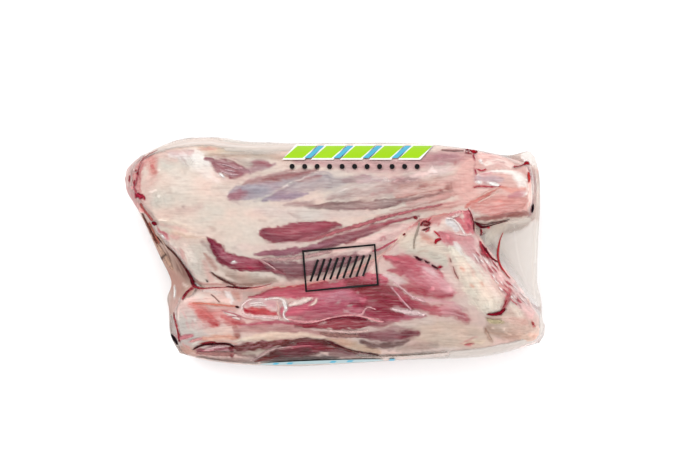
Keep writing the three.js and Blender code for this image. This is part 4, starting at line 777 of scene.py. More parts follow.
    *strands("ridge pinks", (228, 182, 172), [(456, 256), (468, 272), (484, 292)], [(466, 252), (480, 268), (498, 290)],
             8, 0.7, 60, 0.45, (0.1, 0.3)),
    Band("ridge spots", (226, 162, 140), [(461.8, 268.4, 1.4), (463.4, 270, 1.5)], 0.65, 0.9),
    Band("ridge spots low", (224, 160, 138), [(471.4, 285.6, 1.5), (473.4, 287.4, 1.5)], 0.65, 0.9),
    Band("ridge spots right", (226, 164, 144), [(480.6, 283.6, 1.3), (482, 285.4, 1.3)], 0.6, 0.9),
    Band("ridge slit", (150, 96, 94), [(453, 266.6, 0.3), (455, 272.6, 0.5), (458.6, 279.3, 0.4)], 0.9, 0.5, 0.8, -0.4),
    Band("ridge slit halo", (226, 178, 172), [(449, 256, 2), (452, 266, 2.4), (457, 276, 2)], 0.5, 0.9),
    Band("upper slit", (168, 124, 118), [(450.2, 258, 0.5), (451.4, 262.6, 0.6)], 0.8),
    Band("stitch a", (62, 12, 28), [(415, 256.6, 0.5), (419, 259.2, 1.3), (421.8, 260.6, 0.8)], 0.98, 0.35, 0.8, -0.4),
    Band("stitch b", (70, 16, 32), [(424.6, 261.3, 0.8), (428.8, 263, 1.1)], 0.95, 0.4, 0.6),
    Band("stitch c", (66, 14, 30), [(431.4, 265, 0.7), (436, 267.8, 0.9), (438.4, 268.4, 0.6)], 0.96, 0.4, 0.6),
    Band("stitch d", (150, 20, 50), [(438.4, 267.6, 1.1), (442, 267, 1.3)], 0.95, 0.4),
    Band("stitch blot", (198, 74, 98), [(437.6, 269.4, 1.4), (440.8, 273.2, 2.1), (443, 277.4, 1)], 0.7, 0.7, 0.9),
    *strands("stitch shine", (234, 212, 212), [(420, 263), (432, 270), (444, 276)], [(416, 266), (430, 273), (440, 279)],
             4, 0.6, 61, 0.6),
    # socket and lower knob
    Band("knob", (212, 188, 174), [(492, 323, 6), (505, 323, 13), (518, 327, 13), (530, 331, 9)], 0.94, 0.4, 0.3, 1.5),
    Band("knob tip", (239, 224, 211), [(511.5, 302, 2), (515, 308.5, 3.8), (520.6, 316, 3.2)], 0.88, 0.7, 0.6),
    Band("knob pink", (230, 186, 176), [(503, 318, 2), (513, 319.5, 3), (525, 322, 2.6)], 0.5, 0.9, 0.8),
    Band("knob tan", (186, 158, 142), [(489, 330, 4), (505, 334.6, 5), (522, 337, 4.6), (532, 337, 3)], 0.85, 0.8, 0.6),
    Band("knob olive", (198, 182, 148), [(487, 319.6, 1.3), (494, 321.6, 1.8), (502, 321, 1.3)], 0.8, 0.7, 0.6),
    Band("knob crease", (150, 118, 92), [(485.6, 317.6, 0.6), (492, 319.4, 0.9), (500, 318.6, 0.7)], 0.7, 0.6, 0.4, -0.5),
    Band("knob notch", (172, 136, 120), [(485, 329, 1), (488, 335.6, 1.9), (491, 342, 1.2)], 0.6, 0.7, 0.5, -1.2),
    Band("socket light", (206, 104, 108), [(509.4, 290, 1.2), (509, 296, 2.4), (506.6, 302.6, 2.4), (502.6, 308.4, 1.8)], 0.94, 0.5, 0.9, -0.5),
    *strands("socket veins", (150, 30, 52), [(505, 296), (503, 302), (499, 308)], [(512, 296), (510, 304), (505, 310)],
             6, 0.5, 62, 0.75),
    Band("socket", (122, 16, 34), [(487, 314, 0.8), (493, 314.4, 1.2), (500, 313, 1.7), (505, 308.6, 1.2)], 1, 0.3, 0.7, -1.2),
    Band("tan nub", (217, 164, 134), [(527, 300, 1.6), (533.4, 303.4, 2.3)], 0.78, 0.8, 0.6),
    Band("corner nub", (224, 184, 166), [(529, 333, 2), (535, 334.6, 2.2)], 0.6, 0.8),
    Band("right red nick", (192, 84, 84), [(532, 321.6, 1), (533.4, 325.4, 1.6)], 0.85, 0.6, 0.6),
    *strands("low v", (204, 108, 112), [(459, 343), (468, 339), (480, 334)], [(461, 345.4), (470, 345.6), (481, 347)],
             5, 0.8, 63, 0.85),
    Band("low v cream", (233, 214, 190), [(463, 343.4, 1), (472, 342.2, 1.6), (483, 341, 1.2)], 0.7, 0.7),
    Band("corner blood", (196, 66, 82), [(479.6, 241, 0.8), (482, 247, 1.6), (485, 252.5, 1.8), (490, 258.4, 1.1)], 0.9, 0.5, 1),
    Band("corner clot", (96, 14, 30), [(481.4, 244, 0.5), (484, 248, 1), (487.4, 253, 1.1), (490.6, 257.6, 0.6)], 0.9, 0.4, 1),
]

# The film's own marks: milky stretches, dark juices in its corners and what shows beside them. The left web's browns
# are juices partly darkened as painted shade, and the bands named shadow, shade or dusk are painted shade
FILM_MARKS = [
    Band("left rim veil", (196, 138, 132), [(140, 158, 1.6), (131, 165.4, 2.8), (128.3, 172, 3.2), (127.8, 180, 3.2), (128.8, 190, 3.4), (132.5, 199, 3), (138.5, 208, 2.4)], 0.79, 0.6, 0.9),
    Band("left edge veil", (212, 166, 160), [(126.8, 166, 1.6), (126.2, 178, 2), (127, 190, 2.2), (131, 198, 1.8)], 0.79, 0.8, 0.8),
    Band("left rim low", (182, 112, 108), [(127.6, 187, 1.4), (130.6, 195, 2.5), (135.5, 203, 2.2), (140, 210, 1.6)], 0.79, 0.6, 0.9),
    Band("left corner dusk", (176, 122, 112), [(137, 200, 1.6), (143, 208, 3), (150, 216, 3.4), (157, 224, 2)], 0.75, 0.8, 0.8),
    *strands("left rim flecks", (236, 206, 200), [(129, 170), (127.5, 180), (131, 196)], [(136, 166), (134, 180), (137, 200)], 14, 0.5, 74, 0.85, (0.08, 0.2)),
    *strands("left rim reds", (168, 66, 76), [(129, 172), (128, 182), (132, 198)], [(137, 168), (135, 180), (138, 202)], 12, 0.5, 75, 0.85, (0.08, 0.2)),
    # left web, left web low and web grey brown: juices in the film, darkened by painted shade where the elbow's side
    # lies behind
    Band("left web", (192, 152, 136), [(141, 213, 3), (148, 228, 6), (157, 245, 9), (167, 260, 11), (177, 275, 12), (184, 288, 10)], 0.9, 0.2, 0.9),
    Band("left web low", (190, 146, 134), [(170, 270, 4), (176, 282, 7), (174, 298, 5), (172, 312, 3)], 0.8, 0.5, 0.6),
    Band("web grey brown", (158, 130, 118), [(165, 250, 1.4), (174, 260, 3.4), (182, 270, 4.4), (189, 281, 3.6)], 0.85, 0.8, 0.8),
    Band("web shadow", (138, 100, 90), [(150, 224, 1), (158, 236, 2), (166, 246, 2.6), (174, 256, 3.4), (182, 267, 3.6), (189, 277, 3.2)], 0.88, 0.8, 0.9),
    Band("web dark edge", (116, 66, 58), [(142, 212.5, 0.5), (145.5, 220, 0.9), (150.5, 230, 1.3), (155.5, 239.5, 1.2), (159, 248, 0.7)], 0.95, 0.5, 0.9, -0.2),
    Band("web dark line", (104, 52, 50), [(157, 236, 0.5), (163, 243, 0.7), (174, 253, 0.7), (184, 266, 0.8), (192.6, 281, 1.2)], 0.85, 0.5, 0.6, -0.2),
    Band("web tan strand", (206, 168, 148), [(157, 243, 0.9), (162.6, 252, 1.9), (169, 262.4, 2.2), (173, 270, 1.1)], 0.85, 0.6, 0.5, 0.5),
    Band("web orange strand", (196, 116, 98), [(149, 222, 0.5), (155, 234, 0.8), (160, 244, 0.6)], 0.85, 0.5, 0.8),
    *strands("web strands dark", (122, 82, 72), [(146, 222), (160, 246), (176, 276)], [(158, 236), (176, 258), (190, 282)], 12, 0.6, 71, 0.5),
    *strands("web strands pale", (218, 186, 170), [(146, 220), (161, 248), (174, 282)], [(156, 232), (174, 256), (188, 280)], 12, 0.6, 72, 0.75, (0.2, 0.6), 0.3),
    Band("web tab", (120, 96, 88), [(160.4, 257.6, 1.2), (162, 259.6, 1)], 0.9),
    Band("web corner", (96, 20, 32), [(186, 268, 0.6), (190, 275, 1.2), (192.6, 280.6, 1.8), (194, 285, 1.8), (198, 287.6, 0.8)], 0.97, 0.4, 0.5),
    Band("web seep", (176, 72, 80), [(182, 300, 0.7), (184.6, 296, 1.1), (188, 291.6, 1), (193.4, 287.6, 1.4)], 0.9, 0.5, 0.8),
    Band("web seep dark", (112, 18, 36), [(183.4, 297.4, 0.7), (186.6, 292.6, 0.8), (189.6, 290, 0.5)]),
    Band("join line", (160, 44, 58), [(193, 285, 1.4), (200, 288, 0.9), (208, 287.8, 0.6), (218, 287.2, 0.5), (228, 286.9, 0.5), (236, 287.4, 0.7), (243, 288, 0.9), (252, 287.6, 0.6), (262, 286, 0.4), (272, 283.5, 0.3)], 0.95, 0.5, 0.6, -0.3),
    Band("join dark", (86, 14, 26), [(226, 286.2, 0.5), (235, 287.1, 1), (243, 287.9, 1), (251, 287.5, 0.5)], 0.9, 0.5, 0.6),
    Band("join glow", (222, 120, 120), [(198, 290, 1), (214, 289, 0.8), (232, 289.4, 0.8)], 0.6, 0.7, 0.6),
    Band("web glint", (252, 248, 244), [(174.4, 286, 0.5), (175, 292, 0.8), (174.4, 298, 0.5)], 0.8, 0.5, 0.6, 0.4),
    Band("web glint two", (238, 218, 206), [(183.4, 284, 1), (187, 286.4, 1.3)], 0.7, 0.6, 0.8, 0.3),
    Band("left rim shade", (170, 132, 126), [(167.4, 288, 0.5), (166.4, 298, 0.6), (168.6, 308, 0.6), (170.6, 322, 0.6)], 0.75, 0.7, 0.5),
    Band("end mark", (30, 18, 24), [(171.4, 334, 0.7), (173.4, 337, 1.5), (175.6, 340.6, 1.4), (178, 344.6, 0.7)], 1, 0.35, 0.5),
    Band("wrist mark", (26, 10, 22), [(533, 204, 0.6), (532.4, 208, 1.3), (531.7, 212.6, 0.8)], 1, 0.35, 0.6),
    Band("wrist mark red", (150, 30, 50), [(530.6, 209, 0.8), (530, 213, 0.9)], 0.7),
    Band("gap shade", (206, 180, 166), [(478, 231, 3), (490, 227.6, 3), (505, 223.6, 2)], 0.6, 0.9, 0.6),
    # gap blood and gap blood low: blood-red lines in the gap by the back wrist, darkened as painted shade
    Band("gap blood", (84, 10, 24), [(474, 221.4, 0.5), (477.6, 225, 1.2), (482, 227, 1.4), (488, 226, 0.7), (497, 223.4, 0.4), (508, 220.4, 0.3)], 0.97, 0.4, 0.6),
    Band("gap blood low", (132, 16, 38), [(480.6, 229, 0.9), (481, 232.4, 0.8), (480.6, 236, 0.6)], 0.95, 0.5, 0.6),
    Band("gap red", (200, 62, 76), [(486.6, 228, 0.8), (490, 227, 0.9)], 0.85),
    Band("web blood", (190, 46, 56), [(503, 232, 0.3), (499.8, 240, 0.5), (498, 249, 0.9), (497.6, 257, 1), (500, 265.6, 0.8), (505.4, 273.6, 0.5), (510, 279, 0.3)], 0.92, 0.5, 0.3, 0.2),
    Band("web blood branch", (116, 18, 34), [(489, 255.6, 0.7), (493, 259.4, 0.8), (497.4, 261.8, 0.7)], 0.95, 0.5, 0.3, 0.3),
    Band("web shade", (222, 212, 200), [(488, 234, 3), (495, 231, 5), (510, 225, 4), (528, 220, 2.5)], 0.6, 0.9, 0.6),
    Band("web green", (214, 202, 188), [(487, 243, 2.4), (491, 237, 4.4), (497, 230, 4), (505, 226, 2)], 0.8, 0.9, 0.8),
    *strands("web grey lines", (178, 170, 158), [(486, 232), (492, 244), (502, 260)], [(498, 226), (506, 244), (516, 266)],
             7, 0.5, 73, 0.45),
]

# Creases stand up from the film a little. Their white seams, folds, loops, shines and glints are painted highlights,
# and the back under fold is painted shade; the rest are the film's hem, skirt and lines, and a clot with its thread
FILM_CREASES_AND_GLINTS = [
    Band("back hem", (234, 214, 204), [(146, 155, 1.6), (156, 149.8, 2.6), (176, 144.8, 3), (205, 142.2, 3.2), (235, 145.4, 3), (262, 146.8, 2.6), (300, 146.2, 2.2)], 0.9, 0.6, 0.6),
    Band("back fold", (216, 202, 194), [(133, 164.6, 0.4), (152, 147.8, 0.5), (176, 140.6, 0.5), (205, 136.8, 0.5), (235, 141.6, 0.5), (262, 142.8, 0.5), (300, 142.2, 0.5), (400, 141.4, 0.5), (445, 143.8, 0.4)], 0.6, 0.6, 0.3, 0.3),
    Band("back seam", (252, 248, 244), [(168, 147.2, 0.4), (186, 143.8, 0.6), (206, 142.4, 0.6), (222, 144.4, 0.7), (240, 146.8, 0.7), (264, 147, 0.6), (300, 146.2, 0.4)], 0.5, 0.5, 0.3, 0.6),
    Band("back margin", (224, 208, 196), [(226, 149.4, 1.6), (250, 149.8, 2.2), (276, 149.8, 2), (300, 148, 1.4)], 0.7, 0.8, 0.5),
    # painted shade under the back fold
    Band("back under fold", (176, 158, 148), [(222, 153.6, 0.5), (250, 153.4, 0.7), (280, 153, 0.5)], 0.5, 0.6, 0.3, -0.3),
    Band("elbow film line", (214, 196, 184), [(150, 150.4, 0.5), (164, 146.8, 0.7), (178, 144, 0.6)], 0.7, 0.5, 0.3, 0.3),
    Band("right seam", (212, 190, 178),
         [(534, 158, 0.5), (536, 175, 0.6), (536.4, 205, 0.6), (534.3, 235, 0.7), (532.6, 262, 0.7), (533.4, 285, 0.7), (535, 298, 0.5)],
         0.6, 0.6, 0.3, 0.5),
    Band("right seam light", (250, 246, 242), [(538.6, 165, 0.5), (539.4, 190, 0.7), (538.4, 215, 0.7), (536, 240, 0.7), (535, 262, 0.7)],
         0.5, 0.6, 0.3, 0.4),
    Band("web fold", (242, 236, 230), [(514, 226, 0.4), (516, 244, 0.6), (520, 264, 0.6), (527, 284, 0.5)], 0.2, 0.8, 0.3, 0.4),
    Band("wrist end fold a", (250, 246, 242), [(530, 166, 0.6), (532.6, 178, 0.8), (532.8, 194, 0.6)], 0.6, 0.6, 0.4, 0.5),
    Band("wrist end fold b", (224, 204, 194), [(506, 157, 0.5), (514, 161.6, 0.7), (524, 165, 0.6)], 0.5, 0.6, 0.4, 0.4),
    Band("end clot", (150, 26, 38), [(523.4, 165, 0.7), (526.6, 163.2, 1.7), (529.4, 164.6, 0.9)], 1, 0.4, 0.6),
    Band("end clot thread", (166, 74, 82), [(513, 167, 1), (519, 166.4, 0.6), (524, 164.6, 0.6)], 0.88),
    Band("window loop", (250, 236, 232), [(265, 299.4, 0.4), (272, 298.2, 0.6), (279, 298.4, 0.7), (283.6, 300.2, 0.9), (285.6, 304, 1.2), (285.8, 309, 1), (283.8, 313, 0.7), (284.6, 317.6, 0.6), (289, 320.2, 0.6)], 0.8, 0.5, 0.9, 0.4),
    Band("window loop two", (232, 188, 180), [(277, 301, 0.6), (278.6, 307, 1.1), (278.4, 313, 1.1), (280.4, 318, 0.7)], 0.8, 0.6, 0.8, 0.4),
    Band("loop glint", (255, 253, 251), [(283, 301, 0.5), (284.6, 305, 0.9), (286.6, 309.6, 0.8)], 0.9, 0.5, 0.8),
    Band("left shine", (252, 248, 245), [(203.5, 290.8, 0.8), (211, 290, 1.2), (217, 291.2, 0.7)], 0.6, 0.6, 0.6, 0.3),
    Band("corner fold", (248, 242, 236), [(538, 291, 0.6), (541.4, 296.5, 0.8), (540.6, 302, 0.6)], 0.6, 0.6, 0.4, 0.4),
    Band("low right fold", (250, 247, 242), [(455, 352.4, 0.6), (480, 349.3, 0.8), (505, 344.6, 0.9), (534, 338, 0.7)], 0.6, 0.6, 0.4, 0.5),
    Band("low skirt", (226, 212, 203), [(452, 354, 2.4), (478, 352.8, 3.4), (500, 349, 3.6), (520, 343.6, 3), (535, 338, 3), (541, 329, 2.6), (541.4, 317, 2)], 0.78, 0.6, 0.6),
    Band("skirt edge", (188, 176, 168), [(446, 356.6, 0.3), (470, 357.4, 0.4), (492, 354.8, 0.4), (512, 347.4, 0.3)], 0.75, 0.6, 0.6),
    Band("low right dark", (140, 122, 112), [(356, 355.8, 0.3), (380, 355.8, 0.5), (404, 355, 0.6), (428, 353.4, 0.5), (448, 351.6, 0.3)], 0.85, 0.6, 0.8, -0.3),
    Band("front rim light", (226, 232, 226), [(262, 362, 0.5), (300, 363.4, 0.7), (345, 360.6, 0.7), (400, 357, 0.8), (445, 354, 0.7)],
         0.5, 0.7, 0.4, 0.3),
    *strands("elbow shine", (255, 253, 251), [(176, 157), (182, 162), (189, 169)], [(186, 153), (192, 158), (198, 165)],
             5, 0.6, 81, 0.7, (0.3, 0.7), 0.3),
    Band("belly shine", (255, 252, 250), [(219.6, 173.4, 0.8), (223.8, 177, 1.1)], 0.85, 0.6, 0.4, 0.3),
    *strands("flank shine", (255, 253, 251), [(364, 180), (384, 177), (404, 176)], [(368, 183), (388, 182), (406, 180)],
             5, 0.6, 82, 0.55, (0.1, 0.3), 0.3),
    *strands("belly shine lines", (252, 240, 240), [(320, 298), (350, 292), (384, 292)], [(300, 312), (336, 312), (376, 310)], 7, 0.4, 83, 0.3, (0.04, 0.12), 0.3),
    *strands("scattered glints", (255, 250, 248), [(240, 240), (320, 222), (420, 196)], [(250, 350), (340, 345), (460, 330)], 18, 0.45, 84, 0.4, (0.01, 0.04), 0.2),
]


def reach_of(path, x, y):
    """How far pixels lie from a band's line, in half-widths, their places along and across
    it, in pixels, and the half-width there."""
    curve = smooth_path(path)
    reach = np.full(x.shape, np.inf)
    along, across, halves = np.zeros(x.shape), np.zeros(x.shape), np.ones(x.shape)
    walked = 0.0
    for a, b in zip(curve, curve[1:]):
        dx, dy = b[0] - a[0], b[1] - a[1]
        length = math.hypot(dx, dy) + 1e-9
        t = np.clip(((x - a[0]) * dx + (y - a[1]) * dy) / length**2, 0, 1)
        gap = np.hypot(x - a[0] - dx * t, y - a[1] - dy * t)
        half = np.maximum(a[2] + (b[2] - a[2]) * t, 0.2)
        here = gap / half
        nearer = here < reach
        reach = np.where(nearer, here, reach)
        along = np.where(nearer, walked + length * t, along)
        turn = np.sign((x - a[0]) * dy - (y - a[1]) * dx)
        across = np.where(nearer, gap * turn, across)
        halves = np.where(nearer, half, halves)
        walked += length
    return reach, along, across, halves


SOFTEST_EDGE = 1.1  # half the width of the crispest edge, in pixels


class Canvas:
    """Colour, cover and relief at a set of photo pixels, onto which bands are laid."""

    def __init__(self, x, y, colour, seed, read=lit):
        self.x, self.y, self.seed, self.read = x, y, seed, read
        self.colour = np.tile(read(colour), (len(x), 1))
        self.cover = np.zeros(len(x))
        self.relief = np.zeros(len(x))

    def lay(self, band, number):
        path = np.array(band.path, float)
        spread = path[:, 2].max() * (1 + band.soft) + 3
        low, high = path[:, :2].min(0) - spread, path[:, :2].max(0) + spread
        near = (self.x > low[0]) & (self.x < high[0]) & (self.y > low[1]) & (self.y < high[1])
        if not near.any():
            return
        reach, along, across, half = reach_of(band.path, self.x[near], self.y[near])
        seed = self.seed + number
        feather = 0.32 * noise(seed, along / 6, across / 1.4) + 0.2 * noise(seed + 400, along / 2.2, across / 1.1)
        soft = np.maximum(band.soft, SOFTEST_EDGE / half)
        share = 1 - ease(1 - soft, 1 + soft, reach + feather * band.grain)
        share = share * band.cover
        streak = (noise(seed + 800, along / 12, across / 0.9) + 0.6 * noise(seed + 900, along / 4, across / 0.7)
                  + 0.4 * noise(seed + 950, along / 1.3, across / 1.2))
        tint = self.read(band.colour) * np.clip(1 + 0.14 * band.grain * streak, 0.4, 1.8)[:, None]
        self.colour[near] = blend(self.colour[near], tint, share[:, None])
        self.cover[near] = blend(self.cover[near], 1, share)
        if band.rise:
            self.relief[near] += band.rise * np.clip(1 - (reach / 1.15) ** 2, 0, 1) ** 1.5

    def lay_all(self, bands):
        for number, band in enumerate(bands):
            self.lay(band, number)
        return self


# ---------------------------------------------------------------- mesh making
def mesh_object(name, points, faces, material, colours=(), numbers=(), smooth=True):
    """A mesh from points in millimetres, with named colours and numbers on its points."""
    mesh = bpy.data.meshes.new(name)
    mesh.from_pydata((points * MM).tolist(), [], faces)
    mesh.polygons.foreach_set("use_smooth", [smooth] * len(mesh.polygons))
    for title, values in colours:
        layer = mesh.attributes.new(title, "FLOAT_COLOR", "POINT")
        rgba = np.column_stack([values, np.ones(len(values))])
        layer.data.foreach_set("color", rgba.astype(np.float32).ravel())
    for title, values in numbers:
        layer = mesh.attributes.new(title, "FLOAT", "POINT")
        layer.data.foreach_set("value", np.asarray(values, np.float32))
    mesh.materials.append(material)
    mesh.update()
    made = bpy.data.objects.new(name, mesh)
    bpy.context.scene.collection.objects.link(made)
    return made


def grid_normals(grid):
    """Unit normals of a grid of points, right-handed over its two directions."""
    along = np.gradient(grid, axis=0)
    across = np.gradient(grid, axis=1)
    normal = np.cross(along, across)
    return normal / np.maximum(np.linalg.norm(normal, axis=2, keepdims=True), 1e-9)


# ---------------------------------------------------------------- the shanks
RINGS, UPPER_POINTS, LOWER_POINTS = 350, 205, 75
RING_POINTS = UPPER_POINTS + LOWER_POINTS
SKIN_GAP = 0.4  # between the meat and the film
END_CURVE = 5.0  # length over which a shank's end closes
UNDERSIDE_SHIFT = (14.0, 3.0)  # moves the bands on the underside, so that it isn't a mirror
WALL_WEIGHT = 0.5  # steep flanks get fewer points than their length would

# Where the two shanks meet, in pixels: a shank's skin past it goes on with the other's bands
JOIN_LINE = [
    (186, 286), (226, 287.4), (262, 287), (285, 287), (306, 283.5), (330, 277.5), (352, 269.5), (374, 259),
    (388, 249.5), (400, 236), (410, 226.5), (420, 218.5), (440, 214), (460, 211), (474, 209),
]
JOIN_REACH = 18.0

Side = namedtuple("Side", "stations bands base seed inward")
BACK = Side(BACK_STATIONS, BACK_PAINT, CREAM, 100, -1)
FRONT = Side(FRONT_STATIONS, FRONT_PAINT, PINK_CREAM, 600, 1)


def join_at(x):
    return np.interp(x, *zip(*JOIN_LINE))


def upper_profile(half, rise, full_back, full_front):
    """Places across and bulges of points that are spread evenly over a section's top."""
    fine = np.cos(np.linspace(0, np.pi, 900))
    full = np.where(fine > 0, full_back, full_front)
    bulge = np.clip(1 - np.abs(fine) ** full, 0, 1) ** (1 / full)
    steps = np.hypot(np.diff(fine) * half, np.diff(bulge) * rise * WALL_WEIGHT)
    walked = np.concatenate([[0], np.cumsum(steps)])
    want = np.linspace(0, walked[-1], UPPER_POINTS + 1)
    return np.interp(want, walked, fine), np.interp(want, walked, bulge)


SKY_CELL = 0.5
SKY_HALVES = (130, 75)  # half the length and width of the stretch that the heights cover
SKY_STEPS = (1, 2, 3.5, 6, 9, 13, 18, 25, 34, 45)
SKY_WAYS = 16
SKY_BOUNCE = 0.4  # share of the hidden light that the meat around throws back


def sky_share(points):
    """How much of the studio's soft light reaches each point beside the taller meat around it."""
    spans = [np.arange(-half, half + SKY_CELL, SKY_CELL) for half in SKY_HALVES]
    plan = np.meshgrid(*spans, indexing="ij")
    tops = np.maximum(*(heights_over(side.stations, *plan, side.inward)[0] for side in (BACK, FRONT)))
    x, y, z = points.T
    seen = 0
    for turn in np.arange(SKY_WAYS) * 2 * np.pi / SKY_WAYS:
        rise = np.zeros(len(points))
        for step in SKY_STEPS:
            i, j = [np.clip(np.rint((c + half) / SKY_CELL).astype(int), 0, len(span) - 1) for c, half, span in
                    zip((x + step * np.cos(turn), y + step * np.sin(turn)), SKY_HALVES, spans)]
            rise = np.maximum(rise, (tops[i, j] - z) / step)
        seen = seen + 1 / (1 + rise**2) / SKY_WAYS
    return seen + (1 - seen) * SKY_BOUNCE


def paint_shank(side, other, px, py, under):
    """Bands over a shank's points, those of the other shank past the line where they meet."""
    wx, wy = [c + 0.8 * noise(side.seed + k, px / 6, py / 4, under * 3)
              + 0.5 * noise(side.seed + k + 2, px / 2.4, py / 1.8, under * 3) for k, c in ((5, px), (6, py))]
    canvas = Canvas(wx, wy, side.base, side.seed, under_film).lay_all(side.bands)
    past = (wy - join_at(wx)) * -side.inward
    strip = (past > 0) & (past < JOIN_REACH) & (wx > JOIN_LINE[0][0]) & (wx < JOIN_LINE[-1][0]) & (under == 0)
    beyond = Canvas(wx[strip], wy[strip], other.base, other.seed, under_film).lay_all(other.bands)
    canvas.colour[strip], canvas.cover[strip] = beyond.colour, beyond.cover
    return canvas


LOW_MUSCLE = (170, 92, 104)


def add_low_muscles(canvas, points, seed, under):
    """Long lenses of muscle on the lower flanks and the underside, like those of the top."""
    x, y, z = points.T
    lens = ease(0.0, 0.35, layered_noise(seed + 90, 2, x / 32, y / 9, z / 8)) * ease(0, 0.35, under) * 0.85
    streak = noise(seed + 95, x / 12, y / 1.2, z / 1.2)
    tint = under_film(LOW_MUSCLE) * (1 + 0.12 * streak)[:, None]
    canvas.colour = blend(canvas.colour, tint, lens[:, None])
    canvas.cover = np.maximum(canvas.cover, lens)


def shank(name, side, other, material):
    """A shank as a closed tube of superellipse rings along X, painted and given relief."""
    stations, seed = side.stations, side.seed
    share = np.linspace(0, 1, RINGS)
    share = blend(share, (1 - np.cos(np.pi * share)) / 2, 0.3)
    x = blend(stations[0].x + SKIN_GAP, stations[-1].x - SKIN_GAP, share)
    s = section_of(stations, x)
    to_end = np.minimum(x - x[0], x[-1] - x)
    closing = np.sqrt(1 - np.clip(1 - to_end / END_CURVE, 0, 1) ** 2)
    closing[[0, -1]] = 0.02
    half = ((s.back - s.front) / 2 - SKIN_GAP) * closing
    rise = (s.crest - s.side - SKIN_GAP) * closing
    depth = (s.depth - SKIN_GAP) * closing

    across = np.zeros((RINGS, RING_POINTS))
    bulge, upper_bulge = np.zeros_like(across), np.zeros_like(across)
    low_angle = np.pi + np.arange(LOWER_POINTS) * np.pi / LOWER_POINTS
    low_reach = (np.abs(np.cos(low_angle)) ** OUTER_FULLNESS + np.abs(np.sin(low_angle)) ** OUTER_FULLNESS)
    low_reach = low_reach ** (-1 / OUTER_FULLNESS)
    for i in range(RINGS):
        fulls = (s.inner[i], OUTER_FULLNESS)
        full_back, full_front = fulls if side.inward > 0 else fulls[::-1]
        a, b = upper_profile(half[i], rise[i], full_back, full_front)
        across[i, :UPPER_POINTS], bulge[i, :UPPER_POINTS] = a[:-1], b[:-1]
        low = np.cos(low_angle) * low_reach
        across[i, UPPER_POINTS:], bulge[i, UPPER_POINTS:] = low, np.abs(np.sin(low_angle)) * low_reach
        full = np.where(across[i] > 0, full_back, full_front)
        upper_bulge[i] = np.clip(1 - np.abs(across[i]) ** full, 0, 1) ** (1 / full)
    below = np.zeros(RING_POINTS, bool)
    below[UPPER_POINTS:] = True
    y = ((s.back + s.front) / 2)[:, None] + half[:, None] * across
    z = s.side[:, None] + np.where(below, -depth[:, None], rise[:, None]) * bulge
    grid = np.stack([np.repeat(x[:, None], RING_POINTS, 1), y, np.maximum(z, TABLE_GAP)], axis=2)

    # an underside point takes its bands from the upper point over it
    upper = grid.copy()
    upper[..., 2] = s.side[:, None] + rise[:, None] * upper_bulge
    px, py = pixel_of(upper.reshape(-1, 3))
    under = (np.where(below, ease(0.0, 0.7, bulge), 0)).reshape(-1)
    px = px + under * UNDERSIDE_SHIFT[0]
    py = py + under * UNDERSIDE_SHIFT[1]
    canvas = paint_shank(side, other, px, py, under)
    add_low_muscles(canvas, grid.reshape(-1, 3), seed, under)

    mottle = layered_noise(seed + 50, 3, px / 26, py / 18)
    speckle = noise(seed + 60, px / 2.8, py / 1.9) + 0.7 * noise(seed + 61, px / 6, py / 2.6)
    warm = linear((234, 210, 201)) / linear((229, 213, 204))
    cool = linear((223, 213, 205)) / linear((229, 213, 204))
    tone = np.where((mottle > 0)[:, None], blend(1, warm, mottle[:, None]), blend(1, cool, -mottle[:, None]))
    # painted light: the colour is divided by the share of the studio's light that reaches each point, so hollows beside
    # taller meat are painted lighter to make up for their shade
    light = np.where(under > 0, 1, sky_share(grid.reshape(-1, 3)))
    colour = canvas.colour * tone * ((1 + 0.05 * speckle) / light)[:, None]

    lumps = 0.35 * layered_noise(seed + 70, 2, px / 16, py / 10) + 0.1 * noise(seed + 80, px / 3, py / 2.4)
    calm = np.where(np.tile(below, RINGS), 0.35, 1) * np.repeat(closing, RING_POINTS)
    lift = (canvas.relief + lumps) * np.sqrt(bulge.reshape(-1)) * calm
    normal = grid_normals_of_tube(grid).reshape(-1, 3)
    points = grid.reshape(-1, 3) + normal * lift[:, None]
    points[:, 2] = np.maximum(points[:, 2], TABLE_GAP)
    return mesh_object(name, points, tube_faces(RINGS, RING_POINTS), material,
                       [("flesh", np.clip(colour, 0, 1))], [("belly", canvas.cover)])


def grid_normals_of_tube(grid):
    """Outward normals of a tube of rings that run against the clock, seen along +X."""
    along = np.gradient(grid, axis=0)
    around = np.roll(grid, -1, axis=1) - np.roll(grid, 1, axis=1)
    normal = np.cross(around, along)
    return normal / np.maximum(np.linalg.norm(normal, axis=2, keepdims=True), 1e-9)


def tube_faces(rings, count):
    """Faces of a tube with both ends closed, pointing out."""
    faces = []
    for i in range(rings - 1):
        for j in range(count):
            k = (j + 1) % count
            a, b = i * count, (i + 1) * count
            faces.append((a + j, a + k, b + k, b + j))
    faces.append(tuple(reversed(range(count))))
    faces.append(tuple((rings - 1) * count + j for j in range(count)))
    return faces


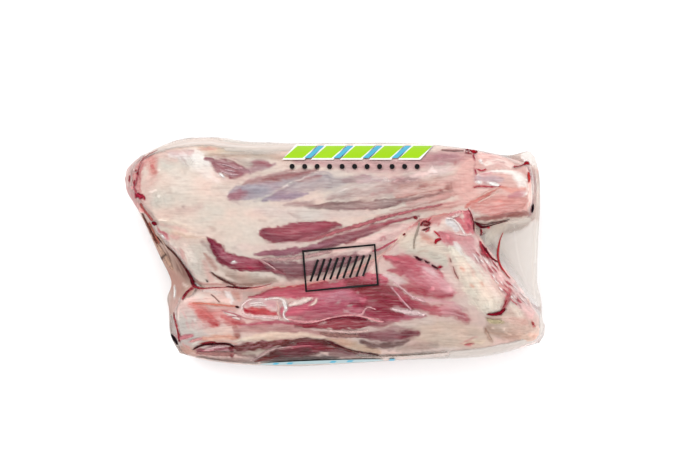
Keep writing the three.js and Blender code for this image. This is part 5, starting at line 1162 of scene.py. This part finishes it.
# ---------------------------------------------------------------- the film
CELLS_ALONG, CELLS_ACROSS = 330, 148
EDGE_CROWDING = 0.5
FILM_SPAN = 1.2
PULL_ROUNDS = 150
PULL_SHARE = 0.5
CREASE_SHARE = 0.45  # how much of a mark's rise the tight film keeps
EDGE_LEVELS = {"left": 24, "right": 20, "middle": 25}
LEFT_EDGE = [
    (-83.5, -55), (-88.5, -45), (-89.5, -32), (-90.5, -25), (-88.5, -16), (-95.5, -1),
    (-106.5, 22), (-112.4, 31.5), (-113.8, 36.5), (-113.8, 42), (-112.6, 46), (-108.4, 48.6), (-104.8, 51.3),
]
BACK_EDGE = [
    (-104.8, 51.3), (-94, 57.4), (-78, 61.3), (-63, 61.2), (-40, 58.6), (0, 59.3), (40, 59.3),
    (73, 56.2), (93, 53), (105, 55.4), (109, 52.5),
]
RIGHT_EDGE = [
    (110.5, -49), (113.4, -43), (112, -34), (111.5, -25.5), (109.5, -15), (110.2, 5),
    (111.5, 25), (111.4, 42), (109, 52.5),
]
FRONT_EDGE = [
    (-83.5, -55), (-65, -59), (-40, -61.3), (-18, -61.8), (10, -60.4), (40, -58.6),
    (73, -57.4), (90, -54.8), (110.5, -49),
]


def edge_curve(points, shares):
    """Places at shares of the length of a smooth curve through an edge's points."""
    curve = smooth_path([(x, y, 0) for x, y in points], steps=24)[:, :2]
    walked = np.concatenate([[0], np.cumsum(np.linalg.norm(np.diff(curve, axis=0), axis=1))])
    want = shares * walked[-1]
    return np.column_stack([np.interp(want, walked, curve[:, k]) for k in (0, 1)])


def bag_plan():
    """Plan places of the bag's grid, blended between its four edges."""
    u = np.linspace(0, 1, CELLS_ALONG + 1)
    v = np.linspace(0, 1, CELLS_ACROSS + 1)
    u, v = [blend(t, (1 - np.cos(np.pi * t)) / 2, EDGE_CROWDING) for t in (u, v)]
    left, right = edge_curve(LEFT_EDGE, v)[None], edge_curve(RIGHT_EDGE, v)[None]
    back, front = edge_curve(BACK_EDGE, u)[:, None], edge_curve(FRONT_EDGE, u)[:, None]
    u, v = u[:, None, None], v[None, :, None]
    corners = (front[0, 0] * (1 - u) * (1 - v) + front[-1, 0] * u * (1 - v)
               + back[0, 0] * (1 - u) * v + back[-1, 0] * u * v)
    return left * (1 - u) + right * u + front * (1 - v) + back * v - corners


def pull_tight(sheet, meat, outward):
    """The film bridges hollows: each point moves to its neighbours' mean, never into meat."""
    for _ in range(PULL_ROUNDS):
        inner = sheet[1:-1, 1:-1]
        mean = (sheet[:-2, 1:-1] + sheet[2:, 1:-1] + sheet[1:-1, :-2] + sheet[1:-1, 2:]) / 4
        pulled = blend(inner, mean, PULL_SHARE)
        sheet[1:-1, 1:-1] = outward * np.maximum(outward * pulled, outward * meat[1:-1, 1:-1])
    return sheet


def film_sheets():
    """The bag's two sheets as grids of points, and how thick the pack is between them."""
    plan = bag_plan()
    x, y = plan[..., 0], plan[..., 1]
    ends = np.where(x < 0, EDGE_LEVELS["left"], EDGE_LEVELS["right"])
    reach = np.minimum(np.abs(x) / cad_box[1][0] * MM, 1)
    level = blend(EDGE_LEVELS["middle"], ends, reach**4)
    tops, bottoms = [], []
    for side in (BACK, FRONT):
        top, bottom, bulge = heights_over(side.stations, x, y, side.inward)
        px, py = pixel_of(np.stack([x, y, top], axis=2).reshape(-1, 3))
        risen = Canvas(px, py, CREAM, 0)
        for band in side.bands:
            if band.rise > 0.45:
                risen.lay(band, 0)
        tops.append(top + risen.relief.reshape(x.shape) * np.sqrt(bulge))
        bottoms.append(bottom)
    top_meat, bottom_meat = np.maximum(*tops), np.minimum(*bottoms)
    sheets = []
    for meat, outward in ((top_meat, 1), (bottom_meat, -1)):
        sheet = outward * np.maximum(outward * meat, outward * level + FILM_SPAN / 2)
        for rim in (np.s_[0, :], np.s_[-1, :], np.s_[:, 0], np.s_[:, -1]):
            sheet[rim] = level[rim]
        sheets.append(pull_tight(sheet, meat, outward))
    top, bottom = sheets[0], np.maximum(sheets[1], 0)
    thick = top - bottom
    return np.dstack([x, y, top]), np.dstack([x, y, bottom]), thick


def clear_film(material):
    """The bag: creased, milky where its sheets meet, marked by juices, and carrying painted highlights on its folds and
    painted shade over its webs.
    """
    top, bottom, thick = film_sheets()
    px, py = pixel_of(top.reshape(-1, 3))
    # the white lines on the film's folds are painted highlights, and the marks hold painted shade beside milky film and
    # juices
    creases_and_glints = Canvas(px, py, (240, 234, 228), 3000).lay_all(FILM_CREASES_AND_GLINTS)
    marks = Canvas(px, py, (234, 224, 215), 4000).lay_all(FILM_MARKS)
    web = 1 - ease(3, 16, thick).reshape(-1)
    crinkle = film_crinkle(px, py)
    open_share = ease(0, 6, thick).reshape(-1)
    lift = (CREASE_SHARE * (creases_and_glints.relief + marks.relief) + crinkle) * open_share
    top = top + grid_normals(top) * lift.reshape(thick.shape)[..., None]
    cover_top = 1 - (1 - marks.cover) * (1 - creases_and_glints.cover) * (1 - 0.5 * web)
    tint = blend(marks.colour, creases_and_glints.colour, creases_and_glints.cover[:, None])

    bx, by = pixel_of(bottom.reshape(-1, 3))
    crinkle = film_crinkle(bx + 300, by) * open_share
    bottom = bottom - grid_normals(bottom) * crinkle.reshape(thick.shape)[..., None]
    bottom[..., 2] = np.maximum(bottom[..., 2], 0)
    cover_bottom = np.clip(0.3 * web + 0.5 * marks.cover * web, 0, 1)

    rim = np.zeros(thick.shape, bool)
    rim[[0, -1]] = True
    rim[:, [0, -1]] = True
    count = thick.size
    below = np.where(rim, 0, 1).reshape(-1)
    number_below = count + np.cumsum(below) - 1
    index_top = np.arange(count).reshape(thick.shape)
    index_bottom = np.where(rim.reshape(-1), np.arange(count), number_below).reshape(thick.shape)
    faces = quads(index_top) + [tuple(reversed(f)) for f in quads(index_bottom)]
    keep = below.astype(bool)
    points = np.vstack([top.reshape(-1, 3), bottom.reshape(-1, 3)[keep]])
    cover = np.concatenate([cover_top, cover_bottom[keep]])
    colour = np.vstack([tint, tint[keep]])
    return mesh_object("clear_film", points, faces, material, [("tint", np.clip(colour, 0, 1))],
                       [("marks_and_painted_light", np.clip(cover, 0, 1))])


def film_crinkle(px, py):
    """Shallow wrinkles of shrunk film: ridges that run mostly along the shanks."""
    bend = 6 * noise(61, px / 60, py / 40)
    ridges = 1 - np.abs(noise(62, (px + bend) / 26, (py + px * 0.28 + bend) / 5)) * 2
    fine = 1 - np.abs(noise(63, (px - bend) / 12, (py + px * 0.2) / 2.6)) * 2
    patches = ease(-0.3, 0.6, noise(64, px / 45, py / 30))
    return 0.16 * np.clip(ridges, 0, 1) ** 3 * patches + 0.05 * np.clip(fine, 0, 1) ** 2


def quads(index):
    a, b, c, d = index[:-1, :-1], index[1:, :-1], index[1:, 1:], index[:-1, 1:]
    return np.stack([a, b, c, d], axis=2).reshape(-1, 4).tolist()


# ---------------------------------------------------------------- nodes
class Socket:
    """A node's socket that understands sums and products, and gives further nodes."""

    def __init__(self, tree, socket):
        self.tree, self.socket = tree, socket

    def node(self, kind, settings=None, inputs=None, output=0):
        made = self.tree.nodes.new(kind)
        for key, value in (settings or {}).items():
            setattr(made, key, value)
        for key, value in (inputs or {}).items():
            self.feed(made.inputs[key], value)
        return Socket(self.tree, made.outputs[output])

    def feed(self, entry, value):
        if isinstance(value, Socket):
            self.tree.links.new(value.socket, entry)
        else:
            entry.default_value = value

    def math(self, operation, other, swap=False):
        first, second = (other, self) if swap else (self, other)
        return self.node("ShaderNodeMath", {"operation": operation}, {0: first, 1: second})

    def __add__(self, other):
        return self.math("ADD", other)

    __radd__ = __add__

    def __sub__(self, other):
        return self.math("SUBTRACT", other)

    def __rsub__(self, other):
        return self.math("SUBTRACT", other, swap=True)

    def __mul__(self, other):
        return self.math("MULTIPLY", other)

    __rmul__ = __mul__

    def clamped(self):
        return self.node("ShaderNodeClamp", None, {0: self})



# ---------------------------------------------------------------- print on the film
PRINT_THICK = 0.05
PRINT_LIFTS = {"print_white": 0.30, "print_lime": 0.38, "print_blue": 0.46, "print_dark": 0.54, "print_pale": 0.40}


def add_slab(points, faces, rows, film_tree, lift, thick):
    """Adds a thin closed slab on the film over a grid of photo pixels."""
    laid = [[on_film(x, y, film_tree) for x, y in row] for row in rows]
    start, across = len(points), len(rows[0])
    for layer in (lift + thick, lift):
        for row in laid:
            points.extend(place + normal * layer for place, normal in row)
    size = len(rows) * across
    index = np.arange(size).reshape(len(rows), across) + start
    top = quads(index)
    faces += top + [tuple(v + size for v in reversed(f)) for f in top]
    rim = [int(v) for v in (*index[0, :], *index[1:, -1], *index[-1, -2::-1], *index[-2:0:-1, 0])]
    faces += [(a, a + size, b + size, b) for a, b in zip(rim, rim[1:] + rim[:1])]


def inked(name, outlines, material, film_tree, lift):
    """Flat ink shapes, given as grids of photo pixels, laid on the film along the camera's
    sight. Each grid is a list of rows of equal length."""
    points, faces = [], []
    for rows in outlines:
        add_slab(points, faces, rows, film_tree, lift, PRINT_THICK)
    return mesh_object(name, np.array(points), faces, material, smooth=False)


def on_film(x, y, film_tree):
    """Where the camera's ray through a pixel meets the film, or the film's nearest place."""
    place, normal, _, _ = film_tree.ray_cast(Vector(camera_place), ray_through(x, y))
    if place is None:
        near = Vector(camera_place) + ray_through(x, y) * CAMERA_DISTANCE
        place, normal, _, _ = film_tree.find_nearest(near)
    return np.array(place), np.array(normal)


# ---------------------------------------------------------------- fine marks
# Bands too thin for the shanks' own points lie over them as ribbons: threads of tendon, veins,
# clots, and glints that are painted highlights
FINE_HALF, FINE_COVER = 2.3, 0.8
FINE_STEP = 0.9
FINE_ACROSS = {-1.3: 0.0, -0.6: 0.75, 0.0: 1.0, 0.6: 0.75, 1.3: 0.0}  # cover across a thin band
FINE_LIFT, FINE_LAYER = 0.03, 0.0015
SLAB = 0.012


def is_fine(band):
    return band.cover >= FINE_COVER and max(half for _, _, half in band.path) <= FINE_HALF


def ribbon(band, seed):
    """A band as a narrow grid of pixels, with a cover and a tint for each of its points."""
    curve = smooth_path(band.path)
    walked = np.concatenate([[0], np.cumsum(np.hypot(*np.diff(curve[:, :2], axis=0).T))])
    count = max(int(walked[-1] / FINE_STEP), 3)
    want = np.linspace(0, walked[-1], count + 1)
    x, y, half = [np.interp(want, walked, curve[:, k]) for k in range(3)]
    run = np.gradient(np.column_stack([x, y]), axis=0)
    run = run / np.maximum(np.hypot(*run.T), 1e-6)[:, None]
    rows, covers, tints = [], [], []
    tip = np.sqrt(np.clip(np.minimum(want, walked[-1] - want) / np.maximum(half, 0.3), 0.05, 1))
    for off, share in FINE_ACROSS.items():
        ragged = 1 + 0.5 * band.grain * noise(seed, want / 2.2, want * 0 + off * 3)
        reach = off * half * ragged * tip
        rows.append(list(zip(x - run[:, 1] * reach, y + run[:, 0] * reach)))
        broken = np.clip(1 + 0.6 * band.grain * noise(seed + 9, want / 3, want * 0 + off), 0.25, 1)
        covers.append(band.cover * share * broken * tip)
        shade = 1 + 0.3 * band.grain * noise(seed + 3, want / 2.5, want * 0 + off)
        tints.append(lit(band.colour) * shade[:, None])
    return rows, np.concatenate(covers), np.vstack(tints)


def fine_marks(name, bands, material, film_tree):
    """All thin bands as slabs of film thickness, each a little over the one before."""
    points, faces, covers, tints = [], [], [], []
    for number, band in enumerate(bands):
        rows, cover, tint = ribbon(band, 5000 + number)
        add_slab(points, faces, rows, film_tree, FINE_LIFT + FINE_LAYER * number, SLAB)
        covers += [cover, cover]
        tints += [tint, tint]
    return mesh_object(name, np.array(points), faces, material,
                       [("tint", np.clip(np.vstack(tints), 0, 1))], [("marks_and_painted_light", np.concatenate(covers))], smooth=False)


def capsule(x, y, half_length, half_height, slope=0.0, step=0.8):
    """A lens with round ends as a grid: rows across its height, along its length."""
    count = max(int(2 * half_length / step), 4)
    rows = max(int(2 * half_height / step), 2)
    t = np.sin(np.linspace(-np.pi / 2, np.pi / 2, count + 1))
    height = np.maximum(half_height * (1 - np.abs(t) ** 2.6) ** 0.5, 0.05)
    return [[(x + half_length * a, y + v * h + slope * half_length * a) for a, h in zip(t, height)]
            for v in np.linspace(-1, 1, rows + 1)]


Box = namedtuple("Box", "x y wide high tilt")


def patch(x, y, half_wide, half_high, step=2.5):
    """A rectangle as a grid."""
    across, down = [np.linspace(-half, half, int(2 * half / step) + 2) for half in (half_wide, half_high)]
    return [[(x + dx, y + dy) for dx in across] for dy in down]


def turned(grids, box):
    """Grids round the origin, turned and moved to a box's place in the photo."""
    c, s = math.cos(box.tilt), math.sin(box.tilt)
    return [[[(box.x + x * c - y * s, box.y + x * s + y * c) for x, y in row] for row in rows] for rows in grids]


def outline(box, line):
    """Four lines of constant width along a box's sides."""
    return [*(patch(0, side * box.high, box.wide + line / 2, line / 2) for side in (-1, 1)),
            *(patch(side * box.wide, 0, line / 2, box.high - line / 2) for side in (-1, 1))]


def hatching(count, pitch, length, width, lean):
    """A row of leaning strokes repeated by Geometry Nodes, as flat grids round the origin."""
    tree = bpy.data.node_groups.new("hatching", "GeometryNodeTree")
    face = tree.interface
    face.new_socket("Geometry", in_out="OUTPUT", socket_type="NodeSocketGeometry")
    sizes = {"Count": count, "Pitch": pitch, "Length": length, "Width": width, "Lean": lean}
    identifiers = {}
    for title in sizes:
        kind = "NodeSocketInt" if title == "Count" else "NodeSocketFloat"
        identifiers[title] = face.new_socket(title, in_out="INPUT", socket_type=kind).identifier
    given = tree.nodes.new("NodeGroupInput")
    make = Socket(tree, None)
    sized = {title: Socket(tree, given.outputs[title]) for title in sizes}
    first = make.node("ShaderNodeCombineXYZ", None, {"X": (sized["Count"] - 1) * sized["Pitch"] * -0.5})
    onward = make.node("ShaderNodeCombineXYZ", None, {"X": sized["Pitch"]})
    spots = make.node("GeometryNodeMeshLine", None,
                      {"Count": sized["Count"], "Start Location": first, "Offset": onward})
    stroke = make.node("GeometryNodeMeshGrid", None,
                       {"Size X": sized["Width"], "Size Y": sized["Length"], "Vertices X": 2, "Vertices Y": 7})
    turn = make.node("ShaderNodeCombineXYZ", None, {"Z": sized["Lean"]})
    placed = make.node("GeometryNodeInstanceOnPoints", None, {"Points": spots, "Instance": stroke, "Rotation": turn})
    whole = make.node("GeometryNodeRealizeInstances", None, {"Geometry": placed})
    plain = make.node("GeometryNodeSetMaterial", None, {"Geometry": whole})
    tree.links.new(plain.socket, tree.nodes.new("NodeGroupOutput").inputs["Geometry"])

    holder = bpy.data.objects.new("hatching", bpy.data.meshes.new("hatching"))
    bpy.context.scene.collection.objects.link(holder)
    modifier = holder.modifiers.new("hatching", "NODES")
    modifier.node_group = tree
    for title, value in sizes.items():
        modifier[identifiers[title]] = value
    evaluated = holder.evaluated_get(bpy.context.evaluated_depsgraph_get())
    mesh = bpy.data.meshes.new_from_object(evaluated)
    corners = [tuple(v.co[:2]) for v in mesh.vertices]
    loops = [[corners[v] for v in face.vertices] for face in mesh.polygons]
    holder.modifiers.clear()
    bpy.data.objects.remove(holder)
    bpy.data.meshes.remove(mesh)
    return [upright([[a, b], [d, c]]) for a, b, c, d in loops]


def upright(rows):
    """The grid turned so that its rows run down the photo as its columns run right."""
    (a, b), (c, _) = rows[0][:2], rows[1][:2]
    turn = (b[0] - a[0]) * (c[1] - a[1]) - (b[1] - a[1]) * (c[0] - a[0])
    return rows if turn > 0 else rows[::-1]


STAMP = Box(340.5, 268, 36, 20, math.radians(-5))
STAMP_LINE = 1.9
HATCH = {"count": 9, "pitch": 6.6, "length": 23.0, "width": 2.3, "lean": math.radians(24)}


def slant(x, y, half_length, half_height, lean=7.0, steps=6):
    """A stripe that leans to the right."""
    across = np.linspace(-half_length, half_length, max(int(half_length), 2) + 1)
    return [[(x + dx - lean * v, y + v * half_height) for dx in across] for v in np.linspace(-1, 1, steps + 1)]


# The label's plain pattern: wide and narrow slanted stripes in turn over a row of dots
STRIPE_ROW, STRIPE_PITCH, STRIPE_FIRST, STRIPES = 152.5, 29, 300, 5
WIDE_STRIPE, NARROW_STRIPE, STRIPE_HEIGHT, STRIPE_BORDER = 9.5, 3.0, 6.0, 1.6
DOT_ROW, DOT_FIRST, DOT_PITCH, DOTS, DOT_SIZE = 167, 292, 12.5, 11, 2.5
FRONT_DASHES = (276, 290, 333, 350, 392)


def front_edge_row(x):
    """The photo's row of the bag's front rim, where the pale strip of print runs."""
    return 361.4 - 0.035 * (x - 322)


def add_print(tree, inks):
    """Slanted stripes and dots, and a hatched frame, on the bag's top."""
    wide = [STRIPE_FIRST + STRIPE_PITCH * k for k in range(STRIPES)]
    narrow = [x + STRIPE_PITCH / 2 for x in wide[:-1]]
    framed = STRIPE_HEIGHT + STRIPE_BORDER
    shapes = {
        "print_white": [*(slant(x, STRIPE_ROW, WIDE_STRIPE + STRIPE_BORDER, framed) for x in wide)],
        "print_lime": [slant(x, STRIPE_ROW, WIDE_STRIPE, STRIPE_HEIGHT) for x in wide],
        "print_blue": [*(slant(x, STRIPE_ROW, NARROW_STRIPE, STRIPE_HEIGHT) for x in narrow),
                       *(slant(x, front_edge_row(x), 2.6, 0.9, 1.0) for x in FRONT_DASHES)],
        "print_pale": [capsule(322, front_edge_row(322), 62, 1.6, -0.035)],
        "print_dark": [*(capsule(DOT_FIRST + DOT_PITCH * k, DOT_ROW, DOT_SIZE, DOT_SIZE, step=0.6) for k in range(DOTS)),
                       *turned([*outline(STAMP, STAMP_LINE), *hatching(**HATCH)], STAMP)],
    }
    return [inked(name, outlines, inks[name], tree, PRINT_LIFTS[name]) for name, outlines in shapes.items()]


# ---------------------------------------------------------------- materials
def new_material(name):
    material = bpy.data.materials.new(name)
    material.use_nodes = True
    tree = material.node_tree
    tree.nodes.clear()
    output = tree.nodes.new("ShaderNodeOutputMaterial")
    return material, Socket(tree, None), output.inputs["Surface"]


def attribute(maker, name, output):
    return maker.node("ShaderNodeAttribute", {"attribute_name": name}, output=output)


def mixed_colour(maker, factor, first, second, blending="MIX"):
    return maker.node("ShaderNodeMix", {"data_type": "RGBA", "blend_type": blending},
                      {"Factor": factor, "A": first, "B": second}, output="Result")


def noise_of(maker, place, scale, detail=2.0, roughness=0.5):
    return maker.node("ShaderNodeTexNoise", None,
                      {"Vector": place, "Scale": scale, "Detail": detail, "Roughness": roughness}, output="Fac")


def raw_meat():
    """Moist flesh and fat: painted colour, fine fibres along the shank, a wet surface."""
    material, make, surface = new_material("raw_meat")
    place = make.node("ShaderNodeTexCoord", output="Object")
    along = make.node("ShaderNodeMapping", None,
                      {"Vector": place, "Rotation": (0, 0, math.radians(-12)), "Scale": (90, 1100, 600)})
    fibre = noise_of(make, along, 1.0, 3.0, 0.6)
    grain = noise_of(make, place, 700.0, 3.0, 0.6)
    flesh = attribute(make, "flesh", "Color")
    belly = attribute(make, "belly", "Fac")
    dark = mixed_colour(make, ((fibre - 0.5) * 2.4 * belly).clamped(), flesh, (0.66, 0.5, 0.52, 1), "MULTIPLY")
    light = mixed_colour(make, ((0.5 - fibre) * 0.7 * belly).clamped(), dark, (0.84, 0.7, 0.68, 1))
    pitted = mixed_colour(make, ((grain - 0.5) * 0.9).clamped(), light, (0.86, 0.8, 0.76, 1), "MULTIPLY")
    bump = make.node("ShaderNodeBump", None,
                     {"Height": fibre * belly + grain * 0.4, "Strength": 0.25, "Distance": 0.0004})
    make.feed(surface, make.node("ShaderNodeBsdfPrincipled", None, {
        "Base Color": pitted,
        "Roughness": 0.42 + grain * 0.16,
        "Normal": bump,
        "Specular IOR Level": 0.05,
    }))
    return material


def shrink_film():
    """Thin clear plastic: see-through, glossy towards its edges, milky where it is doubled, and showing the colours
    painted on it, painted highlights and shade among them.
    """
    material, make, surface = new_material("shrink_film")
    place = make.node("ShaderNodeTexCoord", output="Object")
    marks_and_painted_light = attribute(make, "marks_and_painted_light", "Fac")
    tint = attribute(make, "tint", "Color")
    ripple = noise_of(make, place, 260.0, 3.0)
    bump = make.node("ShaderNodeBump", None, {"Height": ripple, "Strength": 0.14, "Distance": 0.0006})
    fresnel = make.node("ShaderNodeFresnel", None, {"IOR": 1.24, "Normal": bump})
    gloss = make.node("ShaderNodeBsdfPrincipled", None, {
        "Base Color": (1, 1, 1, 1), "Metallic": 1.0, "Roughness": 0.14, "Normal": bump,
    })
    veil = make.node("ShaderNodeBsdfPrincipled", None, {
        "Base Color": tint, "Roughness": 0.35, "Normal": bump, "Specular IOR Level": 0.1,
    })
    clear = make.node("ShaderNodeBsdfTransparent", None, {"Color": (1, 1, 1, 1)})
    shiny = make.node("ShaderNodeMixShader", None, {0: fresnel.clamped(), 1: clear, 2: gloss})
    cover = (marks_and_painted_light * 0.97).clamped()
    make.feed(surface, make.node("ShaderNodeMixShader", None, {0: cover, 1: shiny, 2: veil}))
    return material


def thread_and_glint():
    """Thin streaks just under the film's face, painted glints among them: their own colour, with edges that fade out.
    """
    material, make, surface = new_material("thread_and_glint")
    place = make.node("ShaderNodeTexCoord", output="Object")
    grain = noise_of(make, place, 900.0)
    solid = make.node("ShaderNodeBsdfPrincipled", None, {
        "Base Color": attribute(make, "tint", "Color"), "Roughness": 0.3 + grain * 0.2, "Specular IOR Level": 0.0,
    })
    clear = make.node("ShaderNodeBsdfTransparent", None, {"Color": (1, 1, 1, 1)})
    cover = (attribute(make, "marks_and_painted_light", "Fac") * (0.9 + grain * 0.3)).clamped()
    make.feed(surface, make.node("ShaderNodeMixShader", None, {0: cover, 1: clear, 2: solid}))
    return material


def ink(name, colour):
    """A flat ink on the film, slightly mottled and glossy."""
    material, make, surface = new_material(name)
    place = make.node("ShaderNodeTexCoord", output="Object")
    mottle = noise_of(make, place, 90.0)
    base, pale = lit(colour), np.clip(lit(colour) * 1.15 + 0.002, 0, 1)
    make.feed(surface, make.node("ShaderNodeBsdfPrincipled", None, {
        "Base Color": mixed_colour(make, mottle, (*base, 1), (*pale, 1)),
        "Roughness": 0.28 + mottle * 0.1, "Specular IOR Level": 0.08,
    }))
    return material


def table_top():
    material, make, surface = new_material("table_top")
    place = make.node("ShaderNodeTexCoord", output="Object")
    colour = mixed_colour(make, noise_of(make, place, 3.0), (0.93, 0.93, 0.93, 1), (0.95, 0.95, 0.95, 1))
    make.feed(surface, make.node("ShaderNodeBsdfPrincipled", None, {
        "Base Color": colour, "Roughness": 0.75, "Specular IOR Level": 0.2,
    }))
    return material


# ---------------------------------------------------------------- studio
def add_floor():
    half = 3.0
    mesh = bpy.data.meshes.new("floor")
    mesh.from_pydata([(-half, -half, 0), (half, -half, 0), (half, half, 0), (-half, half, 0)], [], [(0, 1, 2, 3)])
    mesh.materials.append(table_top())
    floor = bpy.data.objects.new("floor", mesh)
    bpy.context.scene.collection.objects.link(floor)
    return floor


def add_area(name, place, size, power):
    """A square softbox that faces the pack."""
    data = bpy.data.lights.new(name, "AREA")
    data.shape = "SQUARE"
    data.size = size
    data.energy = power
    lamp = bpy.data.objects.new(name, data)
    lamp.location = place
    lamp.rotation_euler = (Vector((0, 0, 0.03)) - Vector(place)).to_track_quat("-Z", "Y").to_euler()
    bpy.context.scene.collection.objects.link(lamp)


def add_studio():
    world = bpy.data.worlds.new("studio")
    world.use_nodes = True
    background = world.node_tree.nodes["Background"]
    background.inputs["Color"].default_value = (1, 1, 1, 1)
    background.inputs["Strength"].default_value = 1.24
    bpy.context.scene.world = world
    add_area("key", (-0.7, 0.75, 1.3), 0.9, 8.5)
    add_area("fill", (0.9, -0.5, 1.2), 0.9, 6)
    bpy.context.scene.view_settings.view_transform = "Standard"


# ---------------------------------------------------------------- build
add_camera()
add_studio()
floor = add_floor()

meat = raw_meat()
back_shank = shank("back_shank", BACK, FRONT, meat)
front_shank = shank("front_shank", FRONT, BACK, meat)
film = clear_film(shrink_film())
inks = {
    "print_white": ink("ink_white", (244, 246, 240)),
    "print_lime": ink("ink_lime", (158, 208, 20)),
    "print_blue": ink("ink_blue", (84, 176, 206)),
    "print_dark": ink("ink_dark", (18, 17, 19)),
    "print_pale": ink("ink_pale", (178, 200, 204)),
}
film_tree = BVHTree.FromPolygons([v.co / MM for v in film.data.vertices], [p.vertices[:] for p in film.data.polygons])
prints = add_print(film_tree, inks)
thin_bands = [band for band in (*BACK_PAINT, *FRONT_PAINT, *FILM_MARKS, *FILM_CREASES_AND_GLINTS) if is_fine(band)]
# the ribbons are threads, veins and clots, and painted highlights for the glints
threads = fine_marks("threads_clots_and_glints", thin_bands, thread_and_glint(), film_tree)

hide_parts("sealed_pack")
for piece in (film, back_shank, front_shank, threads, *prints):
    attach(piece, "root")
